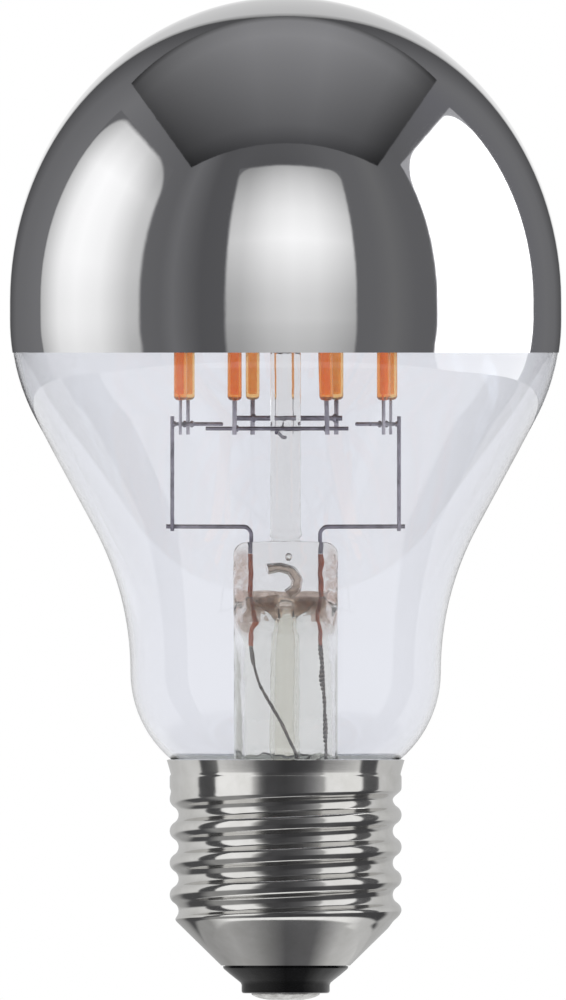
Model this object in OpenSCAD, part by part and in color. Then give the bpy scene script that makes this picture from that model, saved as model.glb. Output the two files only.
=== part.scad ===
// Mirror-crown filament lamp with an E27 screw cap, cap down, in millimetres.
// The origin is the middle of the centre contact's flat face, and +Z runs up the lamp's axis.
// -Y is the side that faces the viewer.

/* [Envelope] */
// Radius of the glass at its widest line
bulb_r = 31.24; // [30:0.01:33]
// Height of the crown above the widest line
crown_h = 34.2; // [32:0.1:38]
// Height of the straight band under the widest line
band_h = 2.2; // [1:0.1:4]
// Radius of the bend in the shoulder
shoulder_bend = 24; // [20:0.5:27]
// Lean of the flank from the axis, in degrees
flank_angle = 28.4; // [26:0.1:31]
// Radius of the hollow bend in the throat
throat_bend = 34.5; // [30:0.5:38]
// Radius of the throat at its narrowest
waist_r = 17.6; // [17:0.05:18.5]
// Radius of the bend that runs into the cap
foot_bend = 13; // [12.5:0.1:14]
// Wall of the blown glass
glass_wall = 0.8; // [0.6:0.05:1]
// How far the mirror reaches down past the band
mirror_drop = 3.8; // [1:0.1:6]
// Thickness of the silvering and its lacquer
mirror_t = 0.12; // [0.08:0.01:0.2]

/* [Screw cap] */
// Radius over the thread's crests
crest_r = 13.15; // [13.02:0.01:13.22]
// Depth of the thread
thread_depth = 1; // [0.9:0.01:1.05]
// Rise of the thread in one turn
pitch = 3.629; // [3.5:0.001:3.7]
// Height of a crest on the +X side
crest_z = 13.73; // [13.4:0.01:14]
// Gap between the glass neck and the inside of the thread's roots
neck_gap = 0.35; // [0.3:0.05:0.5]
// Gap between the glass and the shell at its rim
rim_gap = 0.243; // [0.15:0.001:0.4]
// Sheet thickness of the shell
sheet = 0.3; // [0.2:0.01:0.35]
// Height of the shell's rim
rim_z = 27.2; // [27:0.05:27.4]
// How far the rim's lip stands out
lip = 0.3; // [0.1:0.05:0.4]
// Height of the lip
lip_h = 0.5; // [0.3:0.05:0.8]
// Height at which the thread has run out into the plain collar
thread_end_z = 24.3; // [24:0.05:24.5]
// Height of the shell's lower edge
shell_z = 3.9; // [3.6:0.05:4.2]
// Radius of the shell's lower edge
shell_r = 7.3; // [7:0.05:7.5]
// Radius that the shell's cone gains in a millimetre of height
cone_slope = 1.02; // [0.96:0.01:1.1]

/* [Insulator and contact] */
// Radius of the black glass where it leaves the contact
insulator_r = 5; // [4.8:0.05:5.3]
// Height at which the black glass widens into its cone
insulator_foot_z = 1.7; // [1.5:0.05:2]
// Height of the floor of the black glass inside the cap
insulator_floor_z = 4.4; // [4.2:0.05:4.6]
// Height of the rim of the black glass inside the cap
insulator_top_z = 6.6; // [6.2:0.05:7]
// Radius of the contact disc
contact_r = 3.9; // [3.5:0.05:4.2]
// Radius of the contact's flat face
contact_flat_r = 1.9; // [1.6:0.05:2.2]
// Height of the contact disc
contact_h = 0.75; // [0.6:0.05:0.9]
// Radius of the contact's rivet through the black glass
rivet_r = 1.5; // [1.3:0.05:1.7]

/* [Stem] */
// Radius of the stem tube
stem_r = 5.9; // [5.7:0.05:6.1]
// Wall of the stem tube
stem_wall = 1; // [0.8:0.05:1.1]
// Height of the lower face of the stem's flared rim
flare_z = 22; // [21.8:0.05:22.4]
// Width of the flare's flat rim
rim_w = 1; // [0.8:0.1:1.2]
// Height at which the tube starts to flatten into the press
press_z = 41; // [40.5:0.1:41.5]
// Length of the flattening
press_run = 4.7; // [4.4:0.1:5]
// Height of the press's top
press_top_z = 52.1; // [51.5:0.1:52.5]
// Thickness of the press from front to back
press_t = 3.8; // [3.5:0.1:4.2]
// Radius of the exhaust tube
exhaust_r = 1.55; // [1.4:0.05:1.7]
// Wall of the exhaust tube
exhaust_wall = 0.5; // [0.4:0.05:0.6]
// Height of the sealed tip of the exhaust tube
tip_z = 15.5; // [14:0.1:16.5]
// Height of the hole in the press through which the bulb was emptied
vent_z = 44.8; // [44.6:0.1:46]
// Radius of the glass rod that carries the filaments
rod_r = 1.73; // [1.6:0.01:1.85]

/* [Filaments] */
// Radius of the ring that the filaments stand on
ring_r = 12.5; // [12.3:0.05:12.7]
// Turn of the ring of filaments, in degrees
ring_turn = -5; // [-8:0.5:0]
// Diameter of a filament over its phosphor coat
filament_d = 1.7; // [1.5:0.05:1.9]
// How far the filaments' coats reach down past the glass's widest line
filament_drop = 11.43; // [11:0.01:12]
// Length of a filament's coated body
filament_l = 30; // [28:0.5:31]
// Length of the tab at each end
tab_l = 3.8; // [3.6:0.1:4]
// Width of a tab
tab_w = 0.5; // [0.4:0.05:0.6]
// Thickness of a tab
tab_t = 0.25; // [0.2:0.05:0.3]

/* [Wires] */
// Diameter of the nickel wires that carry the current inside the bulb
wire_d = 0.45; // [0.4:0.05:0.5]
// Diameter of the links between filaments
link_d = 0.45; // [0.35:0.05:0.5]
// Diameter of the anchors that are melted into the glass rod
anchor_d = 0.4; // [0.3:0.05:0.45]
// Diameter of the copper-clad wires that seal in the press
seal_d = 0.5; // [0.45:0.05:0.6]
// Distance of the seal wires from the axis
seal_x = 3.9; // [3.7:0.05:4]
// Distance of the risers from the axis
riser_x = 12.85; // [12.75:0.05:13.2]
// Height of the level leads above the press
lead_rise = 1.7; // [1.5:0.1:2]

/* [Driver] */
// Gap between the circuit board's edge and the inside of the thread's roots
board_gap = 0.85; // [0.8:0.05:1.2]
// Thickness of the board
board_t = 1; // [0.8:0.05:1.2]
// Gap between the smoothing capacitor and the exhaust tube beside it
capacitor_side_gap = 0.85; // [0.6:0.05:2]
// Gap between the smoothing capacitor and the level of the stem's rim
capacitor_top_gap = 1.384; // [1:0.001:3]
// Diameter of the fuse resistor
fuse_d = 2.3; // [2:0.1:2.4]
// Length of the fuse resistor
fuse_l = 6; // [5:0.5:6.5]

/* [Hidden] */
$fn = 48;
clear = 0.05;                 // gap between pieces seated on each other
facet_gap = 0.1;              // gap to the inside of the faceted shell
seat = 0.3;                   // gap at which the board rests on the shell's cone
crown_steps = 16;             // steps of the crown's quarter ellipse
bend_steps = 7;               // steps of each bend of the envelope
columns = 40;                 // columns of the threaded shell around the axis
rows_per_turn = 8;            // rows of the threaded shell in one pitch
wire_sides = 8;               // sides of a bent wire
filament_count = 8;
anchor_count = 4;
root_r = crest_r - thread_depth;
neck_r = root_r - sheet - neck_gap;    // glass inside the cap
flare_bend = neck_r - rim_w - stem_r;  // bend between the stem's tube and its flared rim
board_r = root_r - sheet - board_gap;

// Curves in the plane and in space
function arc(c, r, from, to, n) = [
    for (i = [0:n]) let (a = from + (to - from) * i / n) c + r * [cos(a), sin(a)]
];
function reversed(list) = [for (i = [len(list) - 1:-1:0]) list[i]];
function smooth(t) = let (u = min(1, max(0, t))) u * u * (3 - 2 * u);
function unit(v) = v / norm(v);
function at_height(p, z) = [p[0], p[1], z];

// A round wire along a path; up is a direction that the path never follows
function heading(path, i) = let (
    last = len(path) - 1,
    before = unit(path[max(i, 1)] - path[max(i, 1) - 1]),
    after = unit(path[min(i, last - 1) + 1] - path[min(i, last - 1)])
) unit(before + after);
function wire_ring(path, i, d, up) = let (
    t = heading(path, i), a = unit(cross(t, up)), b = cross(t, a)
) [for (k = [0:wire_sides - 1]) let (w = 360 * k / wire_sides) path[i] + d / 2 * (a * cos(w) + b * sin(w))];
module wire(path, d, up = [0, 0, 1]) {
    n = wire_sides;
    last = len(path) - 1;
    polyhedron(
        points = [for (i = [0:last]) each wire_ring(path, i, d, up)],
        faces = concat(
            [[for (k = [0:n - 1]) k], [for (k = [n - 1:-1:0]) last * n + k]],
            [for (i = [0:last - 1]) for (k = [0:n - 1]) let (m = (k + 1) % n) each [
                [i * n + k, (i + 1) * n + k, (i + 1) * n + m], [i * n + k, (i + 1) * n + m, i * n + m]
            ]]
        )
    );
}

// A bend of radius r at point p between the directions to a and c
function bend(a, p, c, r, n) = let (
    u = unit(a - p), v = unit(c - p),
    half = acos(u * v) / 2,
    middle = p + unit(u + v) * r / sin(half),
    start = p + u * r / tan(half) - middle,
    stop = p + v * r / tan(half) - middle,
    phi = 180 - 2 * half
) [for (i = [0:n]) middle + (start * sin((1 - i / n) * phi) + stop * sin(i / n * phi)) / sin(phi)];
function rounded(path, r, n = 3) = [
    for (i = [0:len(path) - 1]) each
        i == 0 || i == len(path) - 1 ? [path[i]] : bend(path[i - 1], path[i], path[i + 1], r, n)
];
module straight_wire(a, b, d) {
    run = b - a;
    translate(a)
        rotate([0, acos(run[2] / norm(run)), atan2(run[1], run[0])])
            cylinder(d = d, h = norm(run));
}
function beyond(a, b, extra) = b + unit(b - a) * extra;

// Envelope: bends whose centres are tied to each other from the cap upwards
foot_centre_r = waist_r - foot_bend;
waist_z = rim_z + sqrt(pow(foot_bend, 2) - pow(crest_r + lip - sheet - rim_gap - foot_centre_r, 2));
throat_top = [waist_r + throat_bend * (1 - cos(flank_angle)), waist_z + throat_bend * sin(flank_angle)];
shoulder_end_r = bulb_r - shoulder_bend * (1 - cos(flank_angle));
shoulder_end_z = throat_top[1] + (shoulder_end_r - throat_top[0]) / tan(flank_angle);
band_z = shoulder_end_z + shoulder_bend * sin(flank_angle);
widest_z = band_z + band_h;
neck_end_z = flare_z + stem_wall;      // where the blown glass is fused to the stem's rim
mirror_angle = asin(mirror_drop / shoulder_bend);
filament_z = widest_z - filament_drop;  // height at which the filaments' coats begin

// Points from the crown's top down to the mirror's edge, moved outwards by d: [radius, height]
function crown_points(d) = concat(
    [for (i = [0:crown_steps]) let (a = 90 - 90 * i / crown_steps)
        [(bulb_r + d) * cos(a), widest_z + (crown_h + d) * sin(a)]],
    arc([bulb_r - shoulder_bend, band_z], shoulder_bend + d, 0, -mirror_angle, 2)
);
function foot_angle(d) = acos((neck_r + d - foot_centre_r) / (foot_bend + d));
function lower_points(d) = concat(
    [for (i = [1:bend_steps]) let (a = -mirror_angle - (flank_angle - mirror_angle) * i / bend_steps)
        [bulb_r - shoulder_bend, band_z] + (shoulder_bend + d) * [cos(a), sin(a)]],
    arc([waist_r + throat_bend, waist_z], throat_bend - d, 180 - flank_angle, 180, bend_steps),
    [for (i = [1:bend_steps]) let (a = -foot_angle(d) * i / bend_steps)
        [foot_centre_r, waist_z] + (foot_bend + d) * [cos(a), sin(a)]],
    [[neck_r + d, neck_end_z]]
);
function glass_points(d) = concat(crown_points(d), lower_points(d));
neck_top_z = waist_z - foot_bend * sin(foot_angle(0));

module glass_envelope() color([0.86, 0.89, 0.93, 0.3])
    rotate_extrude()
        polygon(concat(glass_points(0), reversed(glass_points(-glass_wall))));

module mirror_crown() color([0.75, 0.75, 0.76])
    rotate_extrude()
        polygon(concat(crown_points(mirror_t), reversed(crown_points(0))));

// Stem: a flared tube whose upper end is pressed flat round the seal wires
stem_in = stem_r - stem_wall;
bend_centre = [stem_r + flare_bend, neck_end_z + flare_bend];
dome_z = press_z + 2;
press_corner = 1.5;

module stem_hollow() {
    dome = [for (i = [0:4]) let (a = 90 * i / 4)
        [exhaust_r + (stem_in - exhaust_r) * cos(a), press_z - 0.4 + (dome_z - press_z + 0.4) * sin(a)]];
    rotate_extrude()
        polygon(concat(
            [[0, flare_z - 1], [bend_centre[0], flare_z - 1]],
            arc(bend_centre, flare_bend + stem_wall, 270, 180, 7), dome, [[0, dome_z]]
        ));
}

module press_block() {
    half = press_t / 2;
    side = [for (i = [0:6]) let (t = i / 6, u = 1 - t)
        u * u * u * [stem_r, press_z] + 3 * u * u * t * [stem_r, press_z + press_run * 0.5]
        + 3 * u * t * t * [half, press_z + press_run * 0.5] + t * t * t * [half, press_z + press_run]];
    outline = concat([[stem_r, press_z - 1]], side, [[half, press_top_z]]);
    front = concat(
        [[stem_r, press_z - 1]],
        arc([stem_r - press_corner, press_top_z - press_corner], press_corner, 0, 90, 4)
    );
    intersection() {
        rotate([90, 0, 90])
            linear_extrude(height = 4 * stem_r, center = true)
                polygon(concat(outline, [for (p = reversed(outline)) [-p[0], p[1]]]));
        rotate([90, 0, 0])
            linear_extrude(height = 4 * stem_r, center = true)
                polygon(concat(front, [for (p = reversed(front)) [-p[0], p[1]]]));
        translate([0, 0, press_z - 1])
            cylinder(r = stem_r, h = press_top_z - press_z + 2);
    }
}

module stem_tube() color([0.84, 0.88, 0.86, 0.35])
    difference() {
        union() {
            rotate_extrude()
                polygon(concat(
                    [[0, flare_z], [neck_r, flare_z], [neck_r, neck_end_z]],
                    arc(bend_centre, flare_bend, 270, 180, 7), [[stem_r, press_z], [0, press_z]]
                ));
            press_block();
        }
        stem_hollow();
        translate([0, 0, press_z])
            cylinder(r = exhaust_r - exhaust_wall, h = vent_z - press_z);
        translate([0, 0, vent_z])
            rotate([90, 0, 0])
                cylinder(r = exhaust_r - exhaust_wall, h = 2 * stem_r);
        for (side = [-1, 1])
            translate([side * seal_x, 0, press_z - 2])
                cylinder(d = seal_d + clear, h = press_top_z - press_z + 4);
    }

module exhaust_tube() color([0.86, 0.9, 0.88, 0.35]) {
    bore = exhaust_r - exhaust_wall;
    rotate_extrude()
        polygon(concat(
            [[bore, dome_z], [exhaust_r, dome_z]],
            [for (i = [0:4]) let (a = 90 * i / 4) [exhaust_r * cos(a), tip_z + 2.4 * (1 - sin(a))]],
            [for (i = [4:-1:0]) let (a = 90 * i / 4) [bore * cos(a), tip_z + exhaust_wall + 2.2 * (1 - sin(a))]]
        ));
}

// The filaments stand on a ring, 1 to 4 along the back from right to left, 5 to 8 along the front
function filament_angle(i) = ring_turn + 360 / filament_count * (i + 0.5);
function ring_point(i, r = ring_r) = [r * cos(filament_angle(i)), r * sin(filament_angle(i))];
half_step = 180 / filament_count;       // lean of a straight link against the tabs that it passes
link_r = ring_r - tab_t / 2 - (link_d / 2 + tab_w / 2 * sin(half_step) + clear / 2) / cos(half_step);
front_z = filament_z - 3.1;            // height of the front link
side_z = front_z + 0.5;                // height of the side links
back_z = front_z + 1.1;                // height of the back link
upper_z = filament_z + filament_l + 2.6;
function link_point(i, z) = at_height(ring_point(i, link_r), z);

module led_filament(i) color([0.91, 0.58, 0.16]) {
    half = filament_d / 2;
    flat = tab_w * 0.7;
    end = concat([[flat, 0]], arc([flat, half - flat], half - flat, 270, 360, 3));
    translate(at_height(ring_point(i), filament_z))
        rotate_extrude()
            polygon(concat([[0, 0]], end, [for (p = reversed(end)) [p[0], filament_l - p[1]]], [[0, filament_l]]));
}

module filament_tabs(i) color([0.62, 0.62, 0.68])
    for (z = [filament_z - tab_l, filament_z + filament_l])
        translate(at_height(ring_point(i), z))
            rotate(filament_angle(i) + 90)
                translate([-tab_w / 2, -tab_t / 2, 0])
                    cube([tab_w, tab_t, tab_l]);

module nickel() color([0.42, 0.42, 0.5]) children();

long_tail = 5.2;                       // wire left beyond the weld at the back
short_tail = 2.2;                      // and at the front
// Links at the lower ends: front and back join the middle filaments, left and right pass a riser
riser_y = -(wire_d + clear);
riser_link_x = riser_x - (wire_d + link_d) / 2 - clear;
module lower_link_front() nickel()
    straight_wire(
        beyond(link_point(6, front_z), link_point(5, front_z), 3.5),
        beyond(link_point(5, front_z), link_point(6, front_z), 3.5), link_d
    );
module lower_link_back() nickel()
    straight_wire(
        beyond(link_point(1, back_z), link_point(2, back_z), 2.4),
        beyond(link_point(2, back_z), link_point(1, back_z), 0.9), link_d
    );
function side_link(back, front, side) = [
    link_point(back, side_z) + long_tail * [-side * 0.65, 0.76, 0], link_point(back, side_z),
    [side * riser_link_x, riser_y, side_z], link_point(front, side_z),
    link_point(front, side_z) + short_tail * [-side * 0.5, -0.87, 0]
];
module lower_link_left() nickel() wire(rounded(side_link(3, 4, -1), 1.2), link_d);
module lower_link_right() nickel() wire(rounded(side_link(0, 7, 1), 1.2), link_d);

// Links at the upper ends join each side filament to the middle one next to it
function upper_ends(i) = [[0, 1], [2, 3], [4, 5], [6, 7]][i];
function upper_middle(i) = let (p = upper_ends(i)) (link_point(p[0], upper_z) + link_point(p[1], upper_z)) / 2;
module upper_link(i) nickel() {
    p = link_point(upper_ends(i)[0], upper_z);
    q = link_point(upper_ends(i)[1], upper_z);
    straight_wire(beyond(q, p, 1), beyond(p, q, 1), link_d);
}

// Anchors are melted into the rod and pass under the link that they hold
function anchor_path(target, root_z) = let (
    d = unit([target[0], target[1]]), reach = norm([target[0], target[1]]),
    under = target[2] - (link_d + anchor_d) / 2 - clear
) [
    at_height(d * rod_r * 0.5, root_z), at_height(d * (rod_r + 2), root_z),
    at_height(d * (reach - 1.6), under), at_height(d * (reach + 0.9), under)
];
middle_front = (link_point(5, front_z) + link_point(6, front_z)) / 2;
middle_back = (link_point(1, back_z) + link_point(2, back_z)) / 2;
anchor_paths = concat(
    [anchor_path(middle_front, front_z - 1), anchor_path(middle_back, back_z - 1.2)],
    [for (i = [0:anchor_count - 1]) anchor_path(upper_middle(i), upper_z - 1)]
);
module anchor(k) color([0.3, 0.3, 0.36]) wire(rounded(anchor_paths[k], 0.8, 2), anchor_d);

// The rod is fused to the press, with a round button at its top and a seat for each anchor
rod_top_z = upper_z + 1.4;
module support_rod() color([0.87, 0.9, 0.92, 0.35])
    difference() {
        rotate_extrude()
            polygon([
                [0, press_top_z], [press_t / 2, press_top_z], [rod_r + 0.05, press_top_z + 0.5],
                [rod_r, press_top_z + 1], [rod_r, rod_top_z - 3], [rod_r + 0.3, rod_top_z - 2.7],
                [rod_r + 0.65, rod_top_z - 2], [rod_r + 0.75, rod_top_z - 1.2],
                [rod_r + 0.4, rod_top_z - 0.4], [rod_r - 0.5, rod_top_z], [0, rod_top_z]
            ]);
        for (path = anchor_paths)
            straight_wire(path[0], beyond(path[0], path[1], 1), anchor_d + clear);
    }

// Leads: a seal wire in the press, a level wire out to each side and a riser welded beside it
lead_z = press_top_z + lead_rise;
seal_low_z = press_z - 0.7;
weld_z = press_top_z - 1.4;
module inner_lead(side) nickel()
    wire(rounded([
        [side * seal_x, 0, weld_z + clear], [side * seal_x, 0, lead_z], [side * (riser_x + 0.7), 0, lead_z]
    ], 0.9), wire_d, [0, 1, 0]);
module riser(side) nickel()
    translate([side * riser_x, riser_y, lead_z - 0.5])
        cylinder(d = wire_d, h = side_z + 0.8 - lead_z + 0.5);
module seal_wire(side) color([0.66, 0.36, 0.27])
    translate([side * seal_x, 0, seal_low_z])
        cylinder(d = seal_d, h = weld_z - seal_low_z);

glass_top_z = min(insulator_top_z, shell_z + (root_r - shell_r) / cone_slope - 0.3);
rivet_top_z = insulator_floor_z + 0.3;
board_z = max(shell_z + (board_r + seat - (shell_r - sheet)) / cone_slope,
    rivet_top_z + fuse_d + 3 * clear, glass_top_z + 3 * clear);
board_top = board_z + board_t;
left_bends = [[-3, -1.2, 4.9], [-0.4, -2.3, 9.5], [1.2, -2.4, 13.3], [2.5, -2.4, 19]]; // x, y, fall from the press
module outer_lead_left() color([0.36, 0.34, 0.33])
    wire(rounded([
        [-seal_x, 0, seal_low_z - clear], [-seal_x, 0, seal_low_z - 1.2],
        for (p = left_bends) [p[0], p[1], press_z - p[2]],
        [left_bends[3][0], left_bends[3][1], board_top + clear]
    ], 0.8, 2), wire_d, [0, 1, 0]);
module outer_lead_right() color([0.36, 0.34, 0.33])
    wire(rounded([
        [seal_x, 0, seal_low_z - clear], [seal_x, 0, seal_low_z - 3], [seal_x + 0.4, 0, press_z - 11],
        [seal_x + 0.4, 0, board_top + clear]
    ], 0.8, 2), wire_d, [0, 1, 0]);

// Screw shell: thin sheet rolled into a right-hand knuckle thread, as rows that climb with the thread
row_step = pitch / rows_per_turn;
knuckle_r = (pow(thread_depth / 2, 2) + pow(pitch / 4, 2)) / thread_depth;
cone_top_z = shell_z + (root_r - shell_r) / cone_slope;
thread_z = crest_z - floor((crest_z - cone_top_z - 0.05) / row_step) * row_step;
rows = floor((thread_end_z - thread_z) / row_step);

// Radius of the knuckle profile at a distance s along the axis from a crest
function knuckle(s) = let (u = abs(s - pitch * round(s / pitch)))
    u < pitch / 4
        ? crest_r - knuckle_r + sqrt(knuckle_r * knuckle_r - u * u)
        : root_r + knuckle_r - sqrt(knuckle_r * knuckle_r - pow(pitch / 2 - u, 2));
function shell_radius(z, turn) = let (
    thread = knuckle(z - crest_z - pitch * turn),
    fade = smooth((z - (thread_end_z - 1.6)) / 1.5),
    rolled = thread + (crest_r - thread) * fade
) min(rolled, shell_r + cone_slope * (z - shell_z)) + (z > rim_z - lip_h ? lip : 0);

function row_shift(i) = let (s = i * rows_per_turn / columns) s - floor(s + 0.0001);
function column_heights(i) = concat(
    [shell_z, cone_top_z - 0.25],
    [for (j = [0:rows - 1]) thread_z + row_step * (j + row_shift(i))],
    [thread_end_z + 0.25, rim_z - lip_h - 0.02, rim_z - lip_h + 0.12, rim_z]
);
levels = len(column_heights(0));
function column(i, inset) = [
    for (z = column_heights(i)) let (a = 360 * i / columns, r = shell_radius(z, i / columns) - inset)
        [r * cos(a), r * sin(a), z]
];

// Triangles between two columns; where the rows start again, each row is linked one row higher
function quad(a, b, j) = [[a + j, b + j, b + j + 1], [a + j, b + j + 1, a + j + 1]];
function restarts(i) = row_shift((i + 1) % columns) < row_shift(i);
function strip(i) = let (a = i * levels, b = ((i + 1) % columns) * levels, low = 1, high = levels - 4)
    restarts(i)
        ? concat(
            quad(a, b, 0), [[a + low, b + low, b + low + 1]],
            [for (j = [low:high - 2]) each [[a + j, b + j + 1, a + j + 1], [a + j + 1, b + j + 1, b + j + 2]]],
            [[a + high - 1, b + high, a + high]],
            [for (j = [high:levels - 2]) each quad(a, b, j)]
        )
        : [for (j = [0:levels - 2]) each quad(a, b, j)];

module screw_shell() color([0.72, 0.72, 0.71]) {
    inside = columns * levels;
    top = levels - 1;
    outer = [for (i = [0:columns - 1]) each strip(i)];
    inner = [for (f = outer) [f[0] + inside, f[2] + inside, f[1] + inside]];
    edges = [for (i = [0:columns - 1]) let (a = i * levels, b = ((i + 1) % columns) * levels) each [
        [a, inside + a, inside + b], [a, inside + b, b],
        [a + top, b + top, inside + b + top], [a + top, inside + b + top, inside + a + top]
    ]];
    polyhedron(
        points = [for (inset = [0, sheet]) for (i = [0:columns - 1]) each column(i, inset)],
        faces = [for (f = concat(outer, inner, edges)) [f[0], f[2], f[1]]]
    );
}

// Black glass that closes the cap's lower end and carries the centre contact
module glass_insulator() color([0.03, 0.03, 0.035]) {
    in_r = shell_r - sheet - facet_gap;
    top_r = in_r + cone_slope * (glass_top_z - shell_z);
    rotate_extrude()
        polygon([
            [rivet_r + clear, contact_h], [insulator_r - 0.2, contact_h], [insulator_r, contact_h + 0.25],
            [insulator_r, insulator_foot_z], [insulator_r + 0.4, insulator_foot_z + 0.5],
            [shell_r - 0.2, shell_z - 0.3], [shell_r - 0.2, shell_z - clear], [in_r, shell_z - clear],
            [in_r, shell_z], [top_r, glass_top_z], [top_r - 0.9, glass_top_z],
            [insulator_r + 0.6, insulator_floor_z], [rivet_r + clear, insulator_floor_z]
        ]);
}

module centre_contact() color([0.78, 0.78, 0.76]) {
    bore = wire_d / 2 + 0.15;
    rotate_extrude()
        polygon([
            [0, 0], [contact_flat_r, 0], [contact_r - 0.6, contact_h * 0.4], [contact_r, contact_h - 0.15],
            [contact_r, contact_h], [rivet_r, contact_h], [rivet_r, rivet_top_z], [bore, rivet_top_z],
            [bore, contact_h + 0.4], [0, contact_h + 0.4]
        ]);
}

// Cement between the neck and the shell's collar
module capping_cement() color([0.83, 0.79, 0.7])
    translate([0, 0, thread_end_z + 0.4])
        difference() {
            cylinder(r = crest_r - sheet - facet_gap, h = neck_top_z - clear - thread_end_z - 0.4);
            translate([0, 0, -1])
                cylinder(r = neck_r + clear, h = neck_top_z);
        }

// Driver on a round board that rests on the shell's cone
module driver_board() color([0.1, 0.36, 0.2])
    translate([0, 0, board_z])
        cylinder(r = board_r, h = board_t);
module block(size, place) translate([place[0] - size[0] / 2, place[1] - size[1] / 2, board_top]) cube(size);
capacitor_d = board_r - 0.6 - exhaust_r - capacitor_side_gap;
module smoothing_capacitor() color([0.12, 0.2, 0.45])
    translate([0, board_r - 0.6 - capacitor_d / 2, board_top])
        cylinder(d = capacitor_d, h = flare_z - capacitor_top_gap - board_top);
module bridge_rectifier() color([0.09, 0.09, 0.09]) block([4.7, 3.9, 2.5], [4.8 - board_r, -0.5]);
module driver_chip() color([0.07, 0.07, 0.08]) block([4.9, 3.9, 1.5], [-1.5, 4.2 - board_r]);
module board_resistors() color([0.16, 0.16, 0.17])
    for (place = [[board_r - 6.4, 4.6 - board_r], [board_r - 3.6, -3.4]]) block([1.25, 2, 0.55], place);

fuse_y = 2.5;
fuse_z = board_z - fuse_d / 2 - clear;
module fuse_resistor() color([0.2, 0.5, 0.36])
    translate([-fuse_l / 2, fuse_y, fuse_z])
        rotate([0, 90, 0])
            cylinder(d = fuse_d, h = fuse_l);
module contact_wire() color([0.75, 0.72, 0.68])
    wire(rounded([
        [-fuse_l / 2 - clear, fuse_y, fuse_z], [-fuse_l / 2 - 1.3, fuse_y, fuse_z],
        [-fuse_l / 2 - 1.3, fuse_y - 1.3, insulator_floor_z + 1.2], [0, 0, insulator_floor_z + 1.2],
        [0, 0, contact_h + 0.6]
    ], 0.35, 2), wire_d, unit([0.2, 1, 0.3]));
wall_x = root_r - sheet - facet_gap - wire_d / 2;
module shell_wire() color([0.75, 0.72, 0.68])
    wire(rounded([
        [wall_x - 1.8, 0, board_top + clear], [wall_x - 1.8, 0, board_top + 1.6],
        [wall_x, 0, board_top + 3.2], [wall_x, 0, board_top + 5]
    ], 0.6, 2), wire_d, [0, 1, 0]);

glass_envelope();
mirror_crown();
stem_tube();
exhaust_tube();
support_rod();
for (i = [1:filament_count])
    led_filament(i - 1);
for (i = [1:filament_count])
    filament_tabs(i - 1);
lower_link_front();
lower_link_back();
lower_link_left();
lower_link_right();
for (i = [1:anchor_count])
    upper_link(i - 1);
anchor(0);  // lower_anchor_front
anchor(1);  // lower_anchor_back
for (i = [1:anchor_count])
    anchor(i + 1);
riser(-1);  // riser_left
riser(1);  // riser_right
inner_lead(-1);  // inner_lead_left
inner_lead(1);  // inner_lead_right
seal_wire(-1);  // seal_wire_left
seal_wire(1);  // seal_wire_right
outer_lead_left();
outer_lead_right();
screw_shell();
glass_insulator();
centre_contact();
capping_cement();
driver_board();
smoothing_capacitor();
bridge_rectifier();
driver_chip();
board_resistors();
fuse_resistor();
contact_wire();
shell_wire();
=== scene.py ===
import math
import bpy
from mathutils import Matrix, Vector, noise


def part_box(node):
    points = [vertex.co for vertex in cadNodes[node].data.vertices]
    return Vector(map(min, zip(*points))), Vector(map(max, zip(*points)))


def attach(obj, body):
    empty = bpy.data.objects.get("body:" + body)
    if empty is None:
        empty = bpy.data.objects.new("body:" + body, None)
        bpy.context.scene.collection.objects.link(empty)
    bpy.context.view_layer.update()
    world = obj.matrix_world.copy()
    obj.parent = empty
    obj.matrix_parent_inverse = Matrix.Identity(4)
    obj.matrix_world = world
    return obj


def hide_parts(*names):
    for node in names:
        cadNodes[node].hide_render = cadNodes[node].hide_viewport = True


# Mirror-crown filament lamp, cap down. Lengths in the dictionaries are millimetres unless they say otherwise.
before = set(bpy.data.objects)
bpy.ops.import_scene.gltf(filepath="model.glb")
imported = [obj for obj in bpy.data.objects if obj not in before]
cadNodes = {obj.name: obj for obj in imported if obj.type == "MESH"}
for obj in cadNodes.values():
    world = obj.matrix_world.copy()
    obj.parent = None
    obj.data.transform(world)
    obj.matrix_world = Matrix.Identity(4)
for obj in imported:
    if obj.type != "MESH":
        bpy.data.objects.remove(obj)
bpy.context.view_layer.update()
scene = bpy.context.scene
mm = 0.001
usedNodes = set()
print("frame loaded:", len(cadNodes), "nodes")


# ---- small helpers
# sRGB hex to linear
def colour(hexCode):
    parts = [int(hexCode[i:i + 2], 16) / 255 for i in (1, 3, 5)]
    return tuple(c / 12.92 if c <= 0.04045 else ((c + 0.055) / 1.055) ** 2.4 for c in parts) + (1.0,)


def addNode(tree, kind, settings=None, links=None):
    node = tree.nodes.new(kind)
    for key, value in (settings or {}).items():
        if isinstance(key, int) or key in node.inputs:
            node.inputs[key].default_value = value
        else:
            setattr(node, key, value)
    for key, socket in (links or {}).items():
        tree.links.new(socket, node.inputs[key])
    return node


def newMaterial(name, settings):
    material = bpy.data.materials.new(name)
    material.use_nodes = True
    tree = material.node_tree
    tree.nodes.clear()
    shader = addNode(tree, "ShaderNodeBsdfPrincipled", settings)
    output = addNode(tree, "ShaderNodeOutputMaterial", None, {"Surface": shader.outputs["BSDF"]})
    return material, tree, shader, output


def rampNode(tree, factor, stops):
    ramp = addNode(tree, "ShaderNodeValToRGB", None, {"Fac": factor})
    while len(ramp.color_ramp.elements) < len(stops):
        ramp.color_ramp.elements.new(0.5)
    for element, (place, hexCode) in zip(ramp.color_ramp.elements, stops):
        element.position = place
        element.color = colour(hexCode)
    return ramp


def clearSelection():
    if bpy.context.object and bpy.context.object.mode != "OBJECT":
        bpy.ops.object.mode_set(mode="OBJECT")
    bpy.ops.object.select_all(action="DESELECT")


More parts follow.
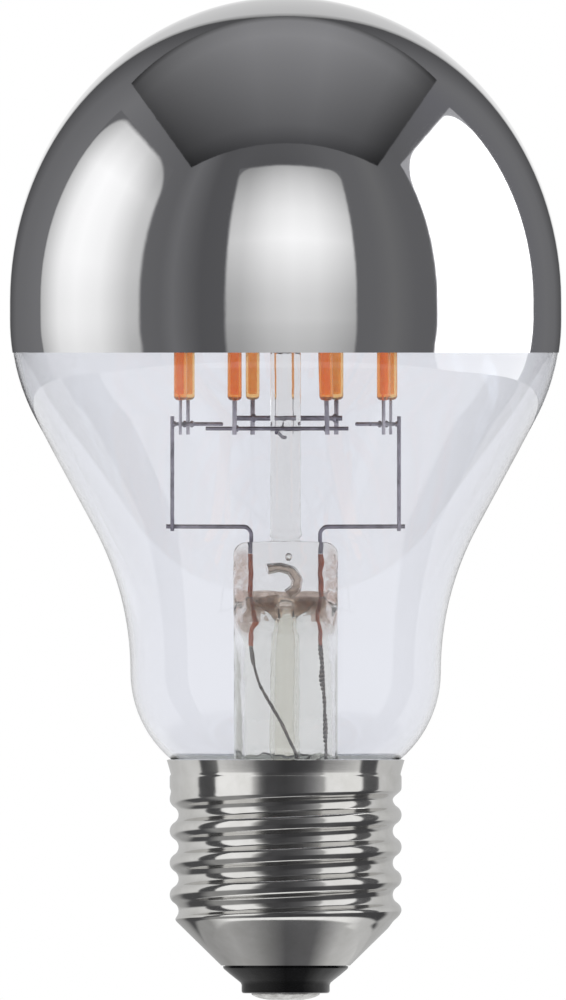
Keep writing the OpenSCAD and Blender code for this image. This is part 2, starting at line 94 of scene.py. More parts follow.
def applyPlace(piece):
    clearSelection()
    piece.select_set(True)
    bpy.context.view_layer.objects.active = piece
    bpy.ops.object.transform_apply(location=True, rotation=True, scale=True)


# Draws a turned form: a circle is extruded from ring to ring. A first or last radius of 0 is a pole
def turnRings(name, rings, segments):
    clearSelection()
    rings = [(max(r, 0.0), z) for r, z in rings]
    startPole, endPole = rings[0][0] == 0, rings[-1][0] == 0
    body = rings[1:] if startPole else rings
    bpy.ops.mesh.primitive_circle_add(vertices=segments, radius=body[0][0] * mm,
                                      fill_type="TRIFAN" if startPole else "NOTHING",
                                      location=(0, 0, body[0][1] * mm))
    piece = bpy.context.object
    piece.name = name
    applyPlace(piece)
    if startPole:
        hub = min(piece.data.vertices, key=lambda v: v.co.xy.length)
        hub.co.z = rings[0][1] * mm
    bpy.ops.object.mode_set(mode="EDIT")
    bpy.ops.mesh.select_mode(type="EDGE")
    bpy.ops.mesh.select_all(action="SELECT")
    if startPole:
        bpy.ops.mesh.region_to_loop()
    for (r0, z0), (r1, z1) in zip(body, body[1:]):
        bpy.ops.mesh.extrude_region_move(TRANSFORM_OT_translate={"value": (0, 0, (z1 - z0) * mm)})
        if r1 == 0:
            bpy.ops.mesh.merge(type="CENTER")
        elif r1 != r0:
            bpy.ops.transform.resize(value=(r1 / r0, r1 / r0, 1), center_override=(0, 0, z1 * mm))
    bpy.ops.mesh.select_all(action="SELECT")
    if not (startPole and endPole):
        closed = rings[0] == rings[-1]
        if closed:
            bpy.ops.mesh.remove_doubles(threshold=1e-7)
    bpy.ops.mesh.normals_make_consistent(inside=False)
    bpy.ops.object.mode_set(mode="OBJECT")
    return piece


# The points of a path with its corners bent to a radius
def rounded(points, radius, steps=5):
    result = [Vector(points[0])]
    for before, corner, after in zip(points, points[1:], points[2:]):
        before, corner, after = Vector(before), Vector(corner), Vector(after)
        u, v = (before - corner).normalized(), (after - corner).normalized()
        half = math.acos(max(-1, min(1, u.dot(v)))) / 2
        back = radius / math.tan(half)
        back = min(back, (before - corner).length * 0.49, (after - corner).length * 0.49)
        bend = back * math.tan(half)
        middle = corner + (u + v).normalized() * bend / math.sin(half)
        first, last = corner + u * back - middle, corner + v * back - middle
        span = math.pi - 2 * half
        for i in range(steps + 1):
            t = i / steps
            result.append(middle + (first * math.sin((1 - t) * span) + last * math.sin(t * span)) / math.sin(span))
    result.append(Vector(points[-1]))
    return result


# A round wire along a path of points in millimetres
def drawWire(name, path, diameter, sides=4):
    clearSelection()
    bpy.ops.curve.primitive_nurbs_path_add(location=(0, 0, 0))
    piece = bpy.context.object
    piece.name = name
    curve = piece.data
    curve.splines.clear()
    spline = curve.splines.new("POLY")
    spline.points.add(len(path) - 1)
    for point, place in zip(spline.points, path):
        point.co = (*(Vector(place) * mm), 1)
    curve.dimensions = "3D"
    curve.twist_mode = "MINIMUM"
    curve.bevel_depth = diameter / 2 * mm
    curve.bevel_resolution = sides
    curve.use_fill_caps = True
    bpy.ops.object.convert(target="MESH")
    return bpy.context.object


def joinPieces(name, pieces):
    clearSelection()
    for piece in pieces:
        piece.select_set(True)
    bpy.context.view_layer.objects.active = pieces[0]
    bpy.ops.object.join()
    pieces[0].name = name
    return pieces[0]


# The small pressed lump that a spot weld leaves
def weldNugget(place, size):
    clearSelection()
    bpy.ops.mesh.primitive_ico_sphere_add(subdivisions=2, radius=size / 2 * mm, location=Vector(place) * mm)
    nugget = bpy.context.object
    nugget.scale = (1, 1, 1.35)
    applyPlace(nugget)
    return nugget


# Smooths a piece, gives it its material and sets it on the lamp's one body
def finishPiece(piece, material, replaced, angle=35):
    applyPlace(piece)
    bpy.ops.object.shade_smooth_by_angle(angle=math.radians(angle))
    piece.data.materials.clear()
    piece.data.materials.append(material)
    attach(piece, "root")
    if replaced:
        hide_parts(*replaced)
        usedNodes.update(replaced)
    return piece


def smooth(t):
    t = max(0.0, min(1.0, t))
    return t * t * (3 - 2 * t)


# Long lens of the photograph: no perspective shows in it, so the camera is parallel
camera = {"height": 56.7, "distance": 1000.0, "side": -0.3, "frameHeight": 113.415}
bpy.ops.object.camera_add(location=(camera["side"] * mm, -camera["distance"] * mm, camera["height"] * mm),
                          rotation=(math.pi / 2, 0, 0))
eye = bpy.context.object
eye.name = "photoCamera"
eye.data.type = "ORTHO"
eye.data.ortho_scale = camera["frameHeight"] * mm
eye.data.clip_start = 0.01
eye.data.clip_end = 50
scene.camera = eye
scene.view_settings.view_transform = "Standard"

# ---- studio
studio = {
    "air": 1.1,                                           # level of the light from all round
    "roomRadius": 1.9,
    "leftBox": {"level": 1.1, "x": -0.60, "y": (-0.327, 0.40), "z": (-0.22, 0.66)},
    "rightBox": {"level": 3.0, "x": 0.60, "y": (-0.283, 0.423), "z": (-0.22, 0.67)},
    "frontBox": {"level": 1.1, "y": -0.90, "x": (-0.43, 0.52), "z": (-0.30, 1.10)},
    "ceiling": {"height": 1.1, "x": (-0.87, 0.84), "y": (-0.66, 1.0)},
    "card": {"radius": 0.05, "top": 0.062, "inner": 0.0042},
    "floorRadius": 0.2,
}

air = bpy.data.worlds.new("studioAir")
scene.world = air
air.use_nodes = True
air.cycles.sampling_method = "NONE"
airTree = air.node_tree
airTree.nodes.clear()
rayKind = addNode(airTree, "ShaderNodeLightPath")
seen = addNode(airTree, "ShaderNodeMath", {"operation": "ADD"},
               {0: rayKind.outputs["Is Camera Ray"], 1: rayKind.outputs["Is Glossy Ray"]})
seen = addNode(airTree, "ShaderNodeMath", {"operation": "ADD", "use_clamp": True},
               {0: seen.outputs[0], 1: rayKind.outputs["Is Transmission Ray"]})
lit = addNode(airTree, "ShaderNodeBackground", {"Color": (1, 1, 1, 1), "Strength": studio["air"]})
white = addNode(airTree, "ShaderNodeBackground", {"Color": (1, 1, 1, 1), "Strength": 1.0})
airMix = addNode(airTree, "ShaderNodeMixShader", None,
                 {0: seen.outputs[0], 1: lit.outputs[0], 2: white.outputs[0]})
addNode(airTree, "ShaderNodeOutputWorld", None, {"Surface": airMix.outputs[0]})


# A light or a wall of the studio: build returns the colour socket, or a hex code stands for it
def glowMaterial(name, build, level=1.0):
    material = bpy.data.materials.new(name)
    material.use_nodes = True
    tree = material.node_tree
    tree.nodes.clear()
    glow = addNode(tree, "ShaderNodeEmission", {"Strength": level})
    if isinstance(build, str):
        glow.inputs["Color"].default_value = colour(build)
    else:
        tree.links.new(build(tree), glow.inputs["Color"])
    addNode(tree, "ShaderNodeOutputMaterial", None, {"Surface": glow.outputs[0]})
    return material


# A flat card from four corners in metres. Cameras and glass look through it, metal mirrors it
def stageCard(name, corners, material, lights):
    clearSelection()
    bpy.ops.mesh.primitive_plane_add(size=1)
    card = bpy.context.object
    card.name = name
    for vertex, place in zip(card.data.vertices, (corners[0], corners[1], corners[3], corners[2])):
        vertex.co = place
    card.data.materials.append(material)
    card.visible_camera = False
    card.visible_transmission = False
    card.visible_shadow = False
    card.visible_diffuse = lights
    return card


def along(tree, axis, low, high):
    where = addNode(tree, "ShaderNodeTexCoord")
    split = addNode(tree, "ShaderNodeSeparateXYZ", None, {0: where.outputs["Object"]})
    return addNode(tree, "ShaderNodeMapRange", {"From Min": low, "From Max": high},
                   {"Value": split.outputs[axis]}).outputs["Result"]


def product(tree, first, second):
    return addNode(tree, "ShaderNodeVectorMath", {"operation": "MULTIPLY"}, {0: first, 1: second}).outputs[0]


# Cloth of a softbox lit from inside: two ramps across it, rounded corners and a soft edge towards the room
def softboxCloth(tree, box, axes, acrossStops, upStops, corner=0.09, soft=0.03):
    spans = [box["x" if axes[0] == "X" else "y"], box["z"]]
    tone = product(tree, rampNode(tree, along(tree, axes[0], *spans[0]), acrossStops).outputs["Color"],
                   rampNode(tree, along(tree, axes[1], *spans[1]), upStops).outputs["Color"])
    where = addNode(tree, "ShaderNodeTexCoord")
    split = addNode(tree, "ShaderNodeSeparateXYZ", None, {0: where.outputs["Object"]})
    beyondCorner = []
    for axis, (low, high) in zip(axes, spans):
        offset = addNode(tree, "ShaderNodeMath", {"operation": "SUBTRACT", 1: (low + high) / 2}, {0: split.outputs[axis]})
        offset = addNode(tree, "ShaderNodeMath", {"operation": "ABSOLUTE"}, {0: offset.outputs[0]})
        offset = addNode(tree, "ShaderNodeMath", {"operation": "SUBTRACT", 1: (high - low) / 2 - corner}, {0: offset.outputs[0]})
        beyondCorner.append(addNode(tree, "ShaderNodeMath", {"operation": "MAXIMUM", 1: 0.0}, {0: offset.outputs[0]}).outputs[0])
    place = addNode(tree, "ShaderNodeCombineXYZ", None, {0: beyondCorner[0], 1: beyondCorner[1]})
    reach = addNode(tree, "ShaderNodeVectorMath", {"operation": "LENGTH"}, {0: place.outputs[0]})
    fade = addNode(tree, "ShaderNodeMapRange", {"From Min": corner - soft, "From Max": corner, "interpolation_type": "SMOOTHSTEP"},
                   {"Value": reach.outputs["Value"]})
    return addNode(tree, "ShaderNodeMix", {"data_type": "RGBA", 7: colour("#626264")},
                   {0: fade.outputs["Result"], 6: tone}).outputs[2]


box = studio["leftBox"]
stageCard("softboxLeft", [(box["x"], box["y"][0], box["z"][0]), (box["x"], box["y"][1], box["z"][0]),
                          (box["x"], box["y"][1], box["z"][1]), (box["x"], box["y"][0], box["z"][1])],
          glowMaterial("softboxClothLeft", lambda t: softboxCloth(
              t, box, ("Y", "Z"), [(0.0, "#bebebe"), (0.12, "#c8c8c8"), (0.35, "#f4f4f4"), (0.55, "#fdfdfd"), (0.72, "#f4f4f4"),
                                   (0.88, "#d2d2d2"), (1.0, "#b8b8b8")],
              [(0.0, "#d0d0d0"), (0.27, "#ececec"), (0.45, "#fcfcfc"), (0.75, "#ffffff"), (0.95, "#d8d8d8")], 0.17), box["level"]), True)
rightBox = studio["rightBox"]
stageCard("softboxRight", [(rightBox["x"], rightBox["y"][0], rightBox["z"][0]), (rightBox["x"], rightBox["y"][1], rightBox["z"][0]),
                           (rightBox["x"], rightBox["y"][1], rightBox["z"][1]), (rightBox["x"], rightBox["y"][0], rightBox["z"][1])],
          glowMaterial("softboxClothRight", lambda t: softboxCloth(
              t, rightBox, ("Y", "Z"), [(0.0, "#ffffff"), (1.0, "#ffffff")], [(0.0, "#ffffff"), (1.0, "#ffffff")], 0.17, 0.02),
              rightBox["level"]), False)
frontBox = studio["frontBox"]
stageCard("softboxFront", [(frontBox["x"][0], frontBox["y"], frontBox["z"][0]), (frontBox["x"][1], frontBox["y"], frontBox["z"][0]),
                           (frontBox["x"][1], frontBox["y"], frontBox["z"][1]), (frontBox["x"][0], frontBox["y"], frontBox["z"][1])],
          glowMaterial("softboxClothFront", lambda t: softboxCloth(
              t, frontBox, ("X", "Z"), [(0.0, "#cccccc"), (0.14, "#d4d4d4"), (0.34, "#f4f4f4"), (0.5, "#ffffff"), (0.68, "#fafafa"),
                                        (0.86, "#e4e4e4"), (1.0, "#d0d0d0")],
              [(0.0, "#b0b0b0"), (0.22, "#c4c4c4"), (0.4, "#e6e6e6"), (0.52, "#f8f8f8"), (0.66, "#ececec"), (0.85, "#cccccc"),
               (1.0, "#aaaaaa")], 0.12), frontBox["level"]), True)
ceiling = studio["ceiling"]
stageCard("studioCeiling", [(ceiling["x"][0], ceiling["y"][0], ceiling["height"]), (ceiling["x"][1], ceiling["y"][0], ceiling["height"]),
                            (ceiling["x"][1], ceiling["y"][1], ceiling["height"]), (ceiling["x"][0], ceiling["y"][1], ceiling["height"])],
          glowMaterial("ceilingPaint", lambda t: product(
              t, rampNode(t, along(t, "Y", *ceiling["y"]), [(0.0, "#4a4a4c"), (0.12, "#646466"), (0.4, "#7a7a7c"), (0.7, "#8c8c8e"),
                                                            (0.9, "#868688"), (1.0, "#585859")]).outputs["Color"],
              rampNode(t, along(t, "X", *ceiling["x"]), [(0.0, "#8c8c8c"), (0.06, "#a8a8a8"), (0.2, "#d0d0d0"), (0.42, "#fafafa"),
                                                         (0.62, "#ffffff"), (0.84, "#d8d8d8"), (0.95, "#a4a4a4"), (1.0, "#888888")]).outputs["Color"])), False)


# How far a point lies round the lamp from the front, -1..1 mapped to 0..1: the left side comes first
def turnAbout(tree):
    where = addNode(tree, "ShaderNodeTexCoord")
    split = addNode(tree, "ShaderNodeSeparateXYZ", None, {0: where.outputs["Object"]})
    back = addNode(tree, "ShaderNodeMath", {"operation": "MULTIPLY", 1: -1.0}, {0: split.outputs["Y"]})
    turn = addNode(tree, "ShaderNodeMath", {"operation": "ARCTAN2"}, {0: split.outputs["X"], 1: back.outputs[0]})
    return addNode(tree, "ShaderNodeMapRange", {"From Min": -math.pi, "From Max": math.pi}, {"Value": turn.outputs[0]}).outputs["Result"]


def turnStops(pairs):
    return [((degrees + 180) / 360, hexCode) for degrees, hexCode in pairs]


# Low cards close round the cap: two white panels, black strips beside them and black in front. Their floor ring is
# painted darker under the cap and in front of it: painted shadow of the lamp on the floor, which the metal reflects
def capCardPaint(tree):
    turn = turnAbout(tree)
    wall = rampNode(tree, turn, turnStops([
        (-180, "#b4b4b4"), (-120, "#cccccc"), (-87, "#e0e0e0"), (-85.5, "#4c4c4e"), (-66, "#4c4c4e"), (-65, "#ffffff"), (-31, "#fafafa"),
        (-27.6, "#bcbcbc"), (-22, "#686869"), (-17, "#474749"), (0, "#424244"), (14, "#565658"), (20, "#6e6e70"), (25, "#838385"),
        (30.5, "#a2a2a3"), (34, "#b0b0b0"), (36, "#f5f5f5"), (72.5, "#fafafa"), (74, "#505052"), (94, "#505052"), (95.5, "#d4d4d4"),
        (125, "#c4c4c4"), (180, "#b4b4b4")]))
    # painted shadow: the floor ring under the cap, darkest in front
    low = rampNode(tree, turn, turnStops([
        (-180, "#a8a8a8"), (-100, "#9c9c9c"), (-60, "#acacac"), (-36, "#9a9a9a"), (0, "#5a5a5c"), (30, "#646466"), (60, "#c0c0c0"),
        (110, "#d0d0d0"), (180, "#a8a8a8")]))
    # painted shadow: the outer floor ring, dark in front and at both sides
    outer = rampNode(tree, turn, turnStops([
        (-180, "#a8a8a8"), (-130, "#a0a0a0"), (-122, "#909090"), (-112, "#505052"), (-84, "#505052"), (-70, "#949494"), (-44, "#949494"),
        (-24, "#5a5a5c"), (0, "#3c3c3e"), (28, "#464648"), (44, "#5a5a5c"), (60, "#4c4c4e"), (104, "#464648"), (114, "#b8b8b8"),
        (180, "#b0b0b0")]))
    where = addNode(tree, "ShaderNodeTexCoord")
    split = addNode(tree, "ShaderNodeSeparateXYZ", None, {0: where.outputs["Object"]})
    flatPlace = addNode(tree, "ShaderNodeCombineXYZ", None, {0: split.outputs["X"], 1: split.outputs["Y"]})
    reach = addNode(tree, "ShaderNodeVectorMath", {"operation": "LENGTH"}, {0: flatPlace.outputs[0]})
    beyondCap = addNode(tree, "ShaderNodeMapRange", {"From Min": 0.0132, "From Max": 0.0136}, {"Value": reach.outputs["Value"]})
    far = addNode(tree, "ShaderNodeMapRange", {"From Min": 0.0168, "From Max": 0.018}, {"Value": reach.outputs["Value"]})
    near = rampNode(tree, turn, turnStops([
        (-180, "#a0a0a0"), (-78, "#9c9c9c"), (-50, "#ffffff"), (56, "#ffffff"), (80, "#c8c8c8"), (180, "#b8b8b8")]))
    lower = addNode(tree, "ShaderNodeMix", {"data_type": "RGBA"},
                    {0: beyondCap.outputs["Result"], 6: low.outputs["Color"], 7: near.outputs["Color"]})
    lower = addNode(tree, "ShaderNodeMix", {"data_type": "RGBA"},
                    {0: far.outputs["Result"], 6: lower.outputs[2], 7: outer.outputs["Color"]})
    return addNode(tree, "ShaderNodeMix", {"data_type": "RGBA"},
                   {0: along(tree, "Z", 0.003, 0.0105), 6: lower.outputs[2], 7: wall.outputs["Color"]}).outputs[2]


card = studio["card"]
capCard = turnRings("capCard", [(card["inner"] / mm, 0.3), (card["radius"] * 0.9 / mm, 0.3), (card["radius"] / mm, 4.0),
                                (card["radius"] / mm, 30.0), (card["radius"] / mm, card["top"] / mm)], 96)
capCard.data.materials.append(glowMaterial("cardPaint", capCardPaint, 1.15))
capCard.visible_camera = False
capCard.visible_transmission = False
capCard.visible_shadow = False
capCard.visible_diffuse = False


# The dark room round the lamp: grey walls with a light patch behind it, which the mirror shows along its upper edge
def roomPaint(tree):
    walls = rampNode(tree, turnAbout(tree), turnStops([
        (-180, "#5e5e60"), (-140, "#6a6a6c"), (-122, "#727274"), (-62, "#626264"), (-54, "#606062"), (-48, "#6a6a6c"), (-36, "#525254"),
        (0, "#5a5a5c"), (38, "#626264"), (46, "#686869"), (56, "#5e5e60"), (66, "#5c5c5e"), (122, "#66666a"), (140, "#6c6c6e"), (180, "#5e5e60")]))
    where = addNode(tree, "ShaderNodeTexCoord")
    way = addNode(tree, "ShaderNodeVectorMath", {"operation": "NORMALIZE"}, {0: where.outputs["Object"]})
    split = addNode(tree, "ShaderNodeSeparateXYZ", None, {0: way.outputs[0]})
    across = addNode(tree, "ShaderNodeMath", {"operation": "DIVIDE", 1: 0.30}, {0: split.outputs["X"]})
    up = addNode(tree, "ShaderNodeMath", {"operation": "SUBTRACT", 1: 0.34}, {0: split.outputs["Z"]})
    up = addNode(tree, "ShaderNodeMath", {"operation": "DIVIDE", 1: 0.41}, {0: up.outputs[0]})
    behind = addNode(tree, "ShaderNodeMath", {"operation": "LESS_THAN", 1: 0.0}, {0: split.outputs["Y"]})
    patch = addNode(tree, "ShaderNodeCombineXYZ", None, {0: across.outputs[0], 1: up.outputs[0], 2: behind.outputs[0]})
    reach = addNode(tree, "ShaderNodeVectorMath", {"operation": "LENGTH"}, {0: patch.outputs[0]})
    inside = rampNode(tree, reach.outputs["Value"], [(0.0, "#ffffff"), (0.84, "#ffffff"), (0.94, "#c8c8c8"), (0.999, "#000000")])
    rise = rampNode(tree, split.outputs["Z"], [(0.0, "#ffffff"), (0.12, "#ececec"), (0.35, "#cccccc"), (0.75, "#b8b8b8")])
    beside = addNode(tree, "ShaderNodeMapRange", {"From Min": 1.0, "From Max": 1.7, "To Min": 0.6, "To Max": 1.0},
                     {"Value": reach.outputs["Value"]})
    return addNode(tree, "ShaderNodeMix", {"data_type": "RGBA", "blend_type": "LIGHTEN", 0: 1.0},
                   {6: product(tree, walls.outputs["Color"], beside.outputs["Result"]),
                    7: product(tree, inside.outputs["Color"], rise.outputs["Color"])}).outputs[2]


clearSelection()
bpy.ops.mesh.primitive_uv_sphere_add(segments=96, ring_count=64, radius=studio["roomRadius"], location=(0, 0, 0))
room = bpy.context.object
room.name = "studioRoom"
bpy.ops.object.shade_smooth()
room.data.materials.append(glowMaterial("roomWalls", roomPaint, 1.05))
room.visible_camera = False
room.visible_transmission = False
room.visible_shadow = False
room.visible_diffuse = False

# Pale floor: mostly its own white to the camera, with a share of true shading so that it keeps the shadow
clearSelection()
bpy.ops.mesh.primitive_circle_add(vertices=96, radius=studio["floorRadius"], fill_type="NGON", location=(0, 0, -0.00002))
floor = bpy.context.object
floor.name = "paleFloor"
floorMaterial, floorTree, floorShader, floorOutput = newMaterial("paleSweep", {
    "Base Color": colour("#f4f4f4"), "Roughness": 0.9})
floorRays = addNode(floorTree, "ShaderNodeLightPath")
floorSeen = addNode(floorTree, "ShaderNodeMath", {"operation": "ADD"},
                    {0: floorRays.outputs["Is Camera Ray"], 1: floorRays.outputs["Is Glossy Ray"]})
floorSeen = addNode(floorTree, "ShaderNodeMath", {"operation": "ADD", "use_clamp": True},
                    {0: floorSeen.outputs[0], 1: floorRays.outputs["Is Transmission Ray"]})
floorPlace = addNode(floorTree, "ShaderNodeTexCoord")
floorDistance = addNode(floorTree, "ShaderNodeVectorMath", {"operation": "LENGTH"}, {0: floorPlace.outputs["Object"]})
floorFade = addNode(floorTree, "ShaderNodeMapRange",
                    {"From Min": 0.03, "From Max": studio["floorRadius"] * 0.95, "To Min": 0.72, "To Max": 1.0},
                    {"Value": floorDistance.outputs["Value"]})
floorShare = addNode(floorTree, "ShaderNodeMath", {"operation": "MULTIPLY"},
                     {0: floorSeen.outputs[0], 1: floorFade.outputs["Result"]})
floorWhite = addNode(floorTree, "ShaderNodeEmission", {"Color": (1, 1, 1, 1), "Strength": 1.04})
floorMix = addNode(floorTree, "ShaderNodeMixShader", None,
                   {0: floorShare.outputs[0], 1: floorShader.outputs[0], 2: floorWhite.outputs[0]})
floorTree.links.new(floorMix.outputs[0], floorOutput.inputs["Surface"])
floor.data.materials.append(floorMaterial)
print("studio set")


# ---- materials
# Clear glass passes the light of lamps and of pale surfaces to what is behind it, and light that its walls hold lets go
def letLampsThrough(tree, shader, output, tint):
    rays = addNode(tree, "ShaderNodeLightPath")
    passing = addNode(tree, "ShaderNodeMath", {"operation": "ADD", "use_clamp": True},
                      {0: rays.outputs["Is Shadow Ray"], 1: rays.outputs["Is Diffuse Ray"]})
    trapped = addNode(tree, "ShaderNodeMath", {"operation": "GREATER_THAN", 1: 6.5}, {0: rays.outputs["Ray Depth"]})
    passing = addNode(tree, "ShaderNodeMath", {"operation": "ADD", "use_clamp": True},
                      {0: passing.outputs[0], 1: trapped.outputs[0]})
    clear = addNode(tree, "ShaderNodeBsdfTransparent", {"Color": tint})
    mix = addNode(tree, "ShaderNodeMixShader", None,
                  {0: passing.outputs[0], 1: shader.outputs["BSDF"], 2: clear.outputs[0]})
    tree.links.new(mix.outputs[0], output.inputs["Surface"])


# Noise whose features are about scale millimetres wide
def objectNoise(tree, scale, detail=3.0, stretch=None, roughness=0.55):
    where = addNode(tree, "ShaderNodeTexCoord")
    socket = where.outputs["Object"]
    if stretch:
        socket = addNode(tree, "ShaderNodeMapping", {"Scale": stretch}, {"Vector": socket}).outputs["Vector"]
    return addNode(tree, "ShaderNodeTexNoise", {"Scale": 1000.0 / scale, "Detail": detail, "Roughness": roughness},
                   {"Vector": socket})


# Soda-lime glass, blown in a mould: quite clear, with the faint waviness of blowing
blownGlass, tree, shader, output = newMaterial("sodaLimeGlassBlown", {
    "Base Color": colour("#f1f2f6"), "Roughness": 0.0, "IOR": 1.52, "Transmission Weight": 1.0})
wave = objectNoise(tree, 14.0, 1.0)
bump = addNode(tree, "ShaderNodeBump", {"Strength": 0.05, "Distance": 0.0004}, {"Height": wave.outputs["Fac"]})
tree.links.new(bump.outputs["Normal"], shader.inputs["Normal"])
letLampsThrough(tree, shader, output, colour("#f8fafb"))

# Lead-free stem glass, pressed hot: clear, with soft ripples where it was squeezed and a brown stain along the seal wires
stemGlass, tree, shader, output = newMaterial("stemGlassPressed", {
    "Base Color": colour("#f7f6f3"), "Roughness": 0.0, "IOR": 1.54, "Transmission Weight": 1.0})
ripple = objectNoise(tree, 2.6, 2.0, (1, 1, 0.5))
where = addNode(tree, "ShaderNodeTexCoord")
split = addNode(tree, "ShaderNodeSeparateXYZ", None, {0: where.outputs["Object"]})
aside = addNode(tree, "ShaderNodeMath", {"operation": "ABSOLUTE"}, {0: split.outputs["X"]})
aside = addNode(tree, "ShaderNodeMapRange", {"From Min": 0.0034, "From Max": 0.0046}, {"Value": aside.outputs[0]})
height = addNode(tree, "ShaderNodeMapRange", {"From Min": 0.040, "From Max": 0.053}, {"Value": split.outputs["Z"]})
pressed = rampNode(tree, height.outputs["Result"], [(0.1, "#000000"), (0.3, "#ffffff"), (0.75, "#ffffff"), (0.92, "#000000")])
mottle = rampNode(tree, objectNoise(tree, 1.1, 4.0).outputs["Fac"], [(0.35, "#404040"), (0.6, "#ffffff")])
stained = addNode(tree, "ShaderNodeMath", {"operation": "MULTIPLY"}, {0: aside.outputs["Result"], 1: pressed.outputs["Color"]})
stained = addNode(tree, "ShaderNodeMath", {"operation": "MULTIPLY"}, {0: stained.outputs[0], 1: mottle.outputs["Color"]})
tone = addNode(tree, "ShaderNodeMix", {"data_type": "RGBA", 6: colour("#f7f6f3"), 7: colour("#c4ad9f")}, {0: stained.outputs[0]})
tree.links.new(tone.outputs[2], shader.inputs["Base Color"])
bump = addNode(tree, "ShaderNodeBump", {"Strength": 0.3, "Distance": 0.0003}, {"Height": ripple.outputs["Fac"]})
tree.links.new(bump.outputs["Normal"], shader.inputs["Normal"])
letLampsThrough(tree, shader, output, colour("#f8f7f4"))

# The same glass where the blown vent has scorched it: brown and cloudy
scorchedGlass, tree, shader, output = newMaterial("stemGlassScorched", {
    "Base Color": colour("#b59e8e"), "Roughness": 0.12, "IOR": 1.54, "Transmission Weight": 0.9})
cloud = objectNoise(tree, 0.9, 4.0)
tone = rampNode(tree, cloud.outputs["Fac"], [(0.3, "#8d7768"), (0.7, "#d8c8ba")])
tree.links.new(tone.outputs["Color"], shader.inputs["Base Color"])
letLampsThrough(tree, shader, output, colour("#e8dcd2"))

# Silver mirror under clear lacquer, sprayed on the glass: bright, with a faint orange peel
silverMirror, tree, shader, output = newMaterial("silverMirrorLacquered", {
    "Base Color": colour("#f4f4f5"), "Metallic": 1.0, "Roughness": 0.035})
peel = objectNoise(tree, 1.8, 2.0)
bump = addNode(tree, "ShaderNodeBump", {"Strength": 0.02, "Distance": 0.0001}, {"Height": peel.outputs["Fac"]})
haze = objectNoise(tree, 9.0, 4.0)
dull = addNode(tree, "ShaderNodeMapRange", {"To Min": 0.02, "To Max": 0.06}, {"Value": haze.outputs["Fac"]})
tree.links.new(bump.outputs["Normal"], shader.inputs["Normal"])
tree.links.new(dull.outputs["Result"], shader.inputs["Roughness"])

# Nickel-plated brass sheet, rolled: bright, with faint roller marks round the thread and a light haze
nickelPlate, tree, shader, output = newMaterial("nickelPlatedBrassRolled", {
    "Base Color": colour("#d4d3d1"), "Metallic": 1.0, "Roughness": 0.11})
rollMarks = objectNoise(tree, 0.5, 3.0, (0.15, 0.15, 1.6))
haze = objectNoise(tree, 2.4, 3.0)
tone = rampNode(tree, haze.outputs["Fac"], [(0.3, "#cfcecb"), (0.65, "#d8d7d5")])
gloss = addNode(tree, "ShaderNodeMapRange", {"To Min": 0.08, "To Max": 0.15}, {"Value": haze.outputs["Fac"]})
bump = addNode(tree, "ShaderNodeBump", {"Strength": 0.04, "Distance": 0.00005}, {"Height": rollMarks.outputs["Fac"]})
tree.links.new(tone.outputs["Color"], shader.inputs["Base Color"])
tree.links.new(gloss.outputs["Result"], shader.inputs["Roughness"])
tree.links.new(bump.outputs["Normal"], shader.inputs["Normal"])

# Black cap glass, cast into the shell: glossy, with slight sink marks
blackGlass, tree, shader, output = newMaterial("blackCapGlassCast", {
    "Base Color": colour("#050506"), "Roughness": 0.08, "IOR": 1.52})
sink = objectNoise(tree, 1.5, 2.0)
bump = addNode(tree, "ShaderNodeBump", {"Strength": 0.3, "Distance": 0.00012}, {"Height": sink.outputs["Fac"]})
tree.links.new(bump.outputs["Normal"], shader.inputs["Normal"])

# Tin solder over the brass contact: dull light grey, with flow marks
tinSolder, tree, shader, output = newMaterial("tinSolderMelted", {
    "Base Color": colour("#cfcfcd"), "Metallic": 1.0, "Roughness": 0.38})
flow = objectNoise(tree, 0.9, 4.0)
tone = rampNode(tree, flow.outputs["Fac"], [(0.35, "#b4b3b0"), (0.65, "#dddddb")])
bump = addNode(tree, "ShaderNodeBump", {"Strength": 0.35, "Distance": 0.00015}, {"Height": flow.outputs["Fac"]})
tree.links.new(tone.outputs["Color"], shader.inputs["Base Color"])
tree.links.new(bump.outputs["Normal"], shader.inputs["Normal"])


# Silicone gel with phosphor powder, drawn over the strip: clear amber, with a fine grain
def phosphorMaterial(name, tint):
    material, tree, shader, output = newMaterial(name, {
        "Base Color": colour(tint), "Roughness": 0.16, "IOR": 1.41, "Transmission Weight": 0.95, "Specular IOR Level": 0.2})
    grain = objectNoise(tree, 0.4, 4.0)
    bump = addNode(tree, "ShaderNodeBump", {"Strength": 0.25, "Distance": 0.00005}, {"Height": grain.outputs["Fac"]})
    tree.links.new(bump.outputs["Normal"], shader.inputs["Normal"])
    letLampsThrough(tree, shader, output, colour(tint))
    return material


phosphorRed = phosphorMaterial("phosphorGelDrawnDeep", "#ffa444")
phosphorAmber = phosphorMaterial("phosphorGelDrawnAmber", "#ffcc80")

# The chips' own coat on the strip: pale yellow, matt, with a cloudier patch over each chip. Its faint amber glow is
# painted light: the chips are not lit
chipCoat, tree, shader, output = newMaterial("chipCoatMoulded", {
    "Roughness": 0.5, "Specular IOR Level": 0.2, "Emission Color": colour("#ffb450"), "Emission Strength": 0.18})
patches = objectNoise(tree, 0.9, 3.0)
tone = rampNode(tree, patches.outputs["Fac"], [(0.35, "#ffb860"), (0.65, "#ffd488")])
tree.links.new(tone.outputs["Color"], shader.inputs["Base Color"])


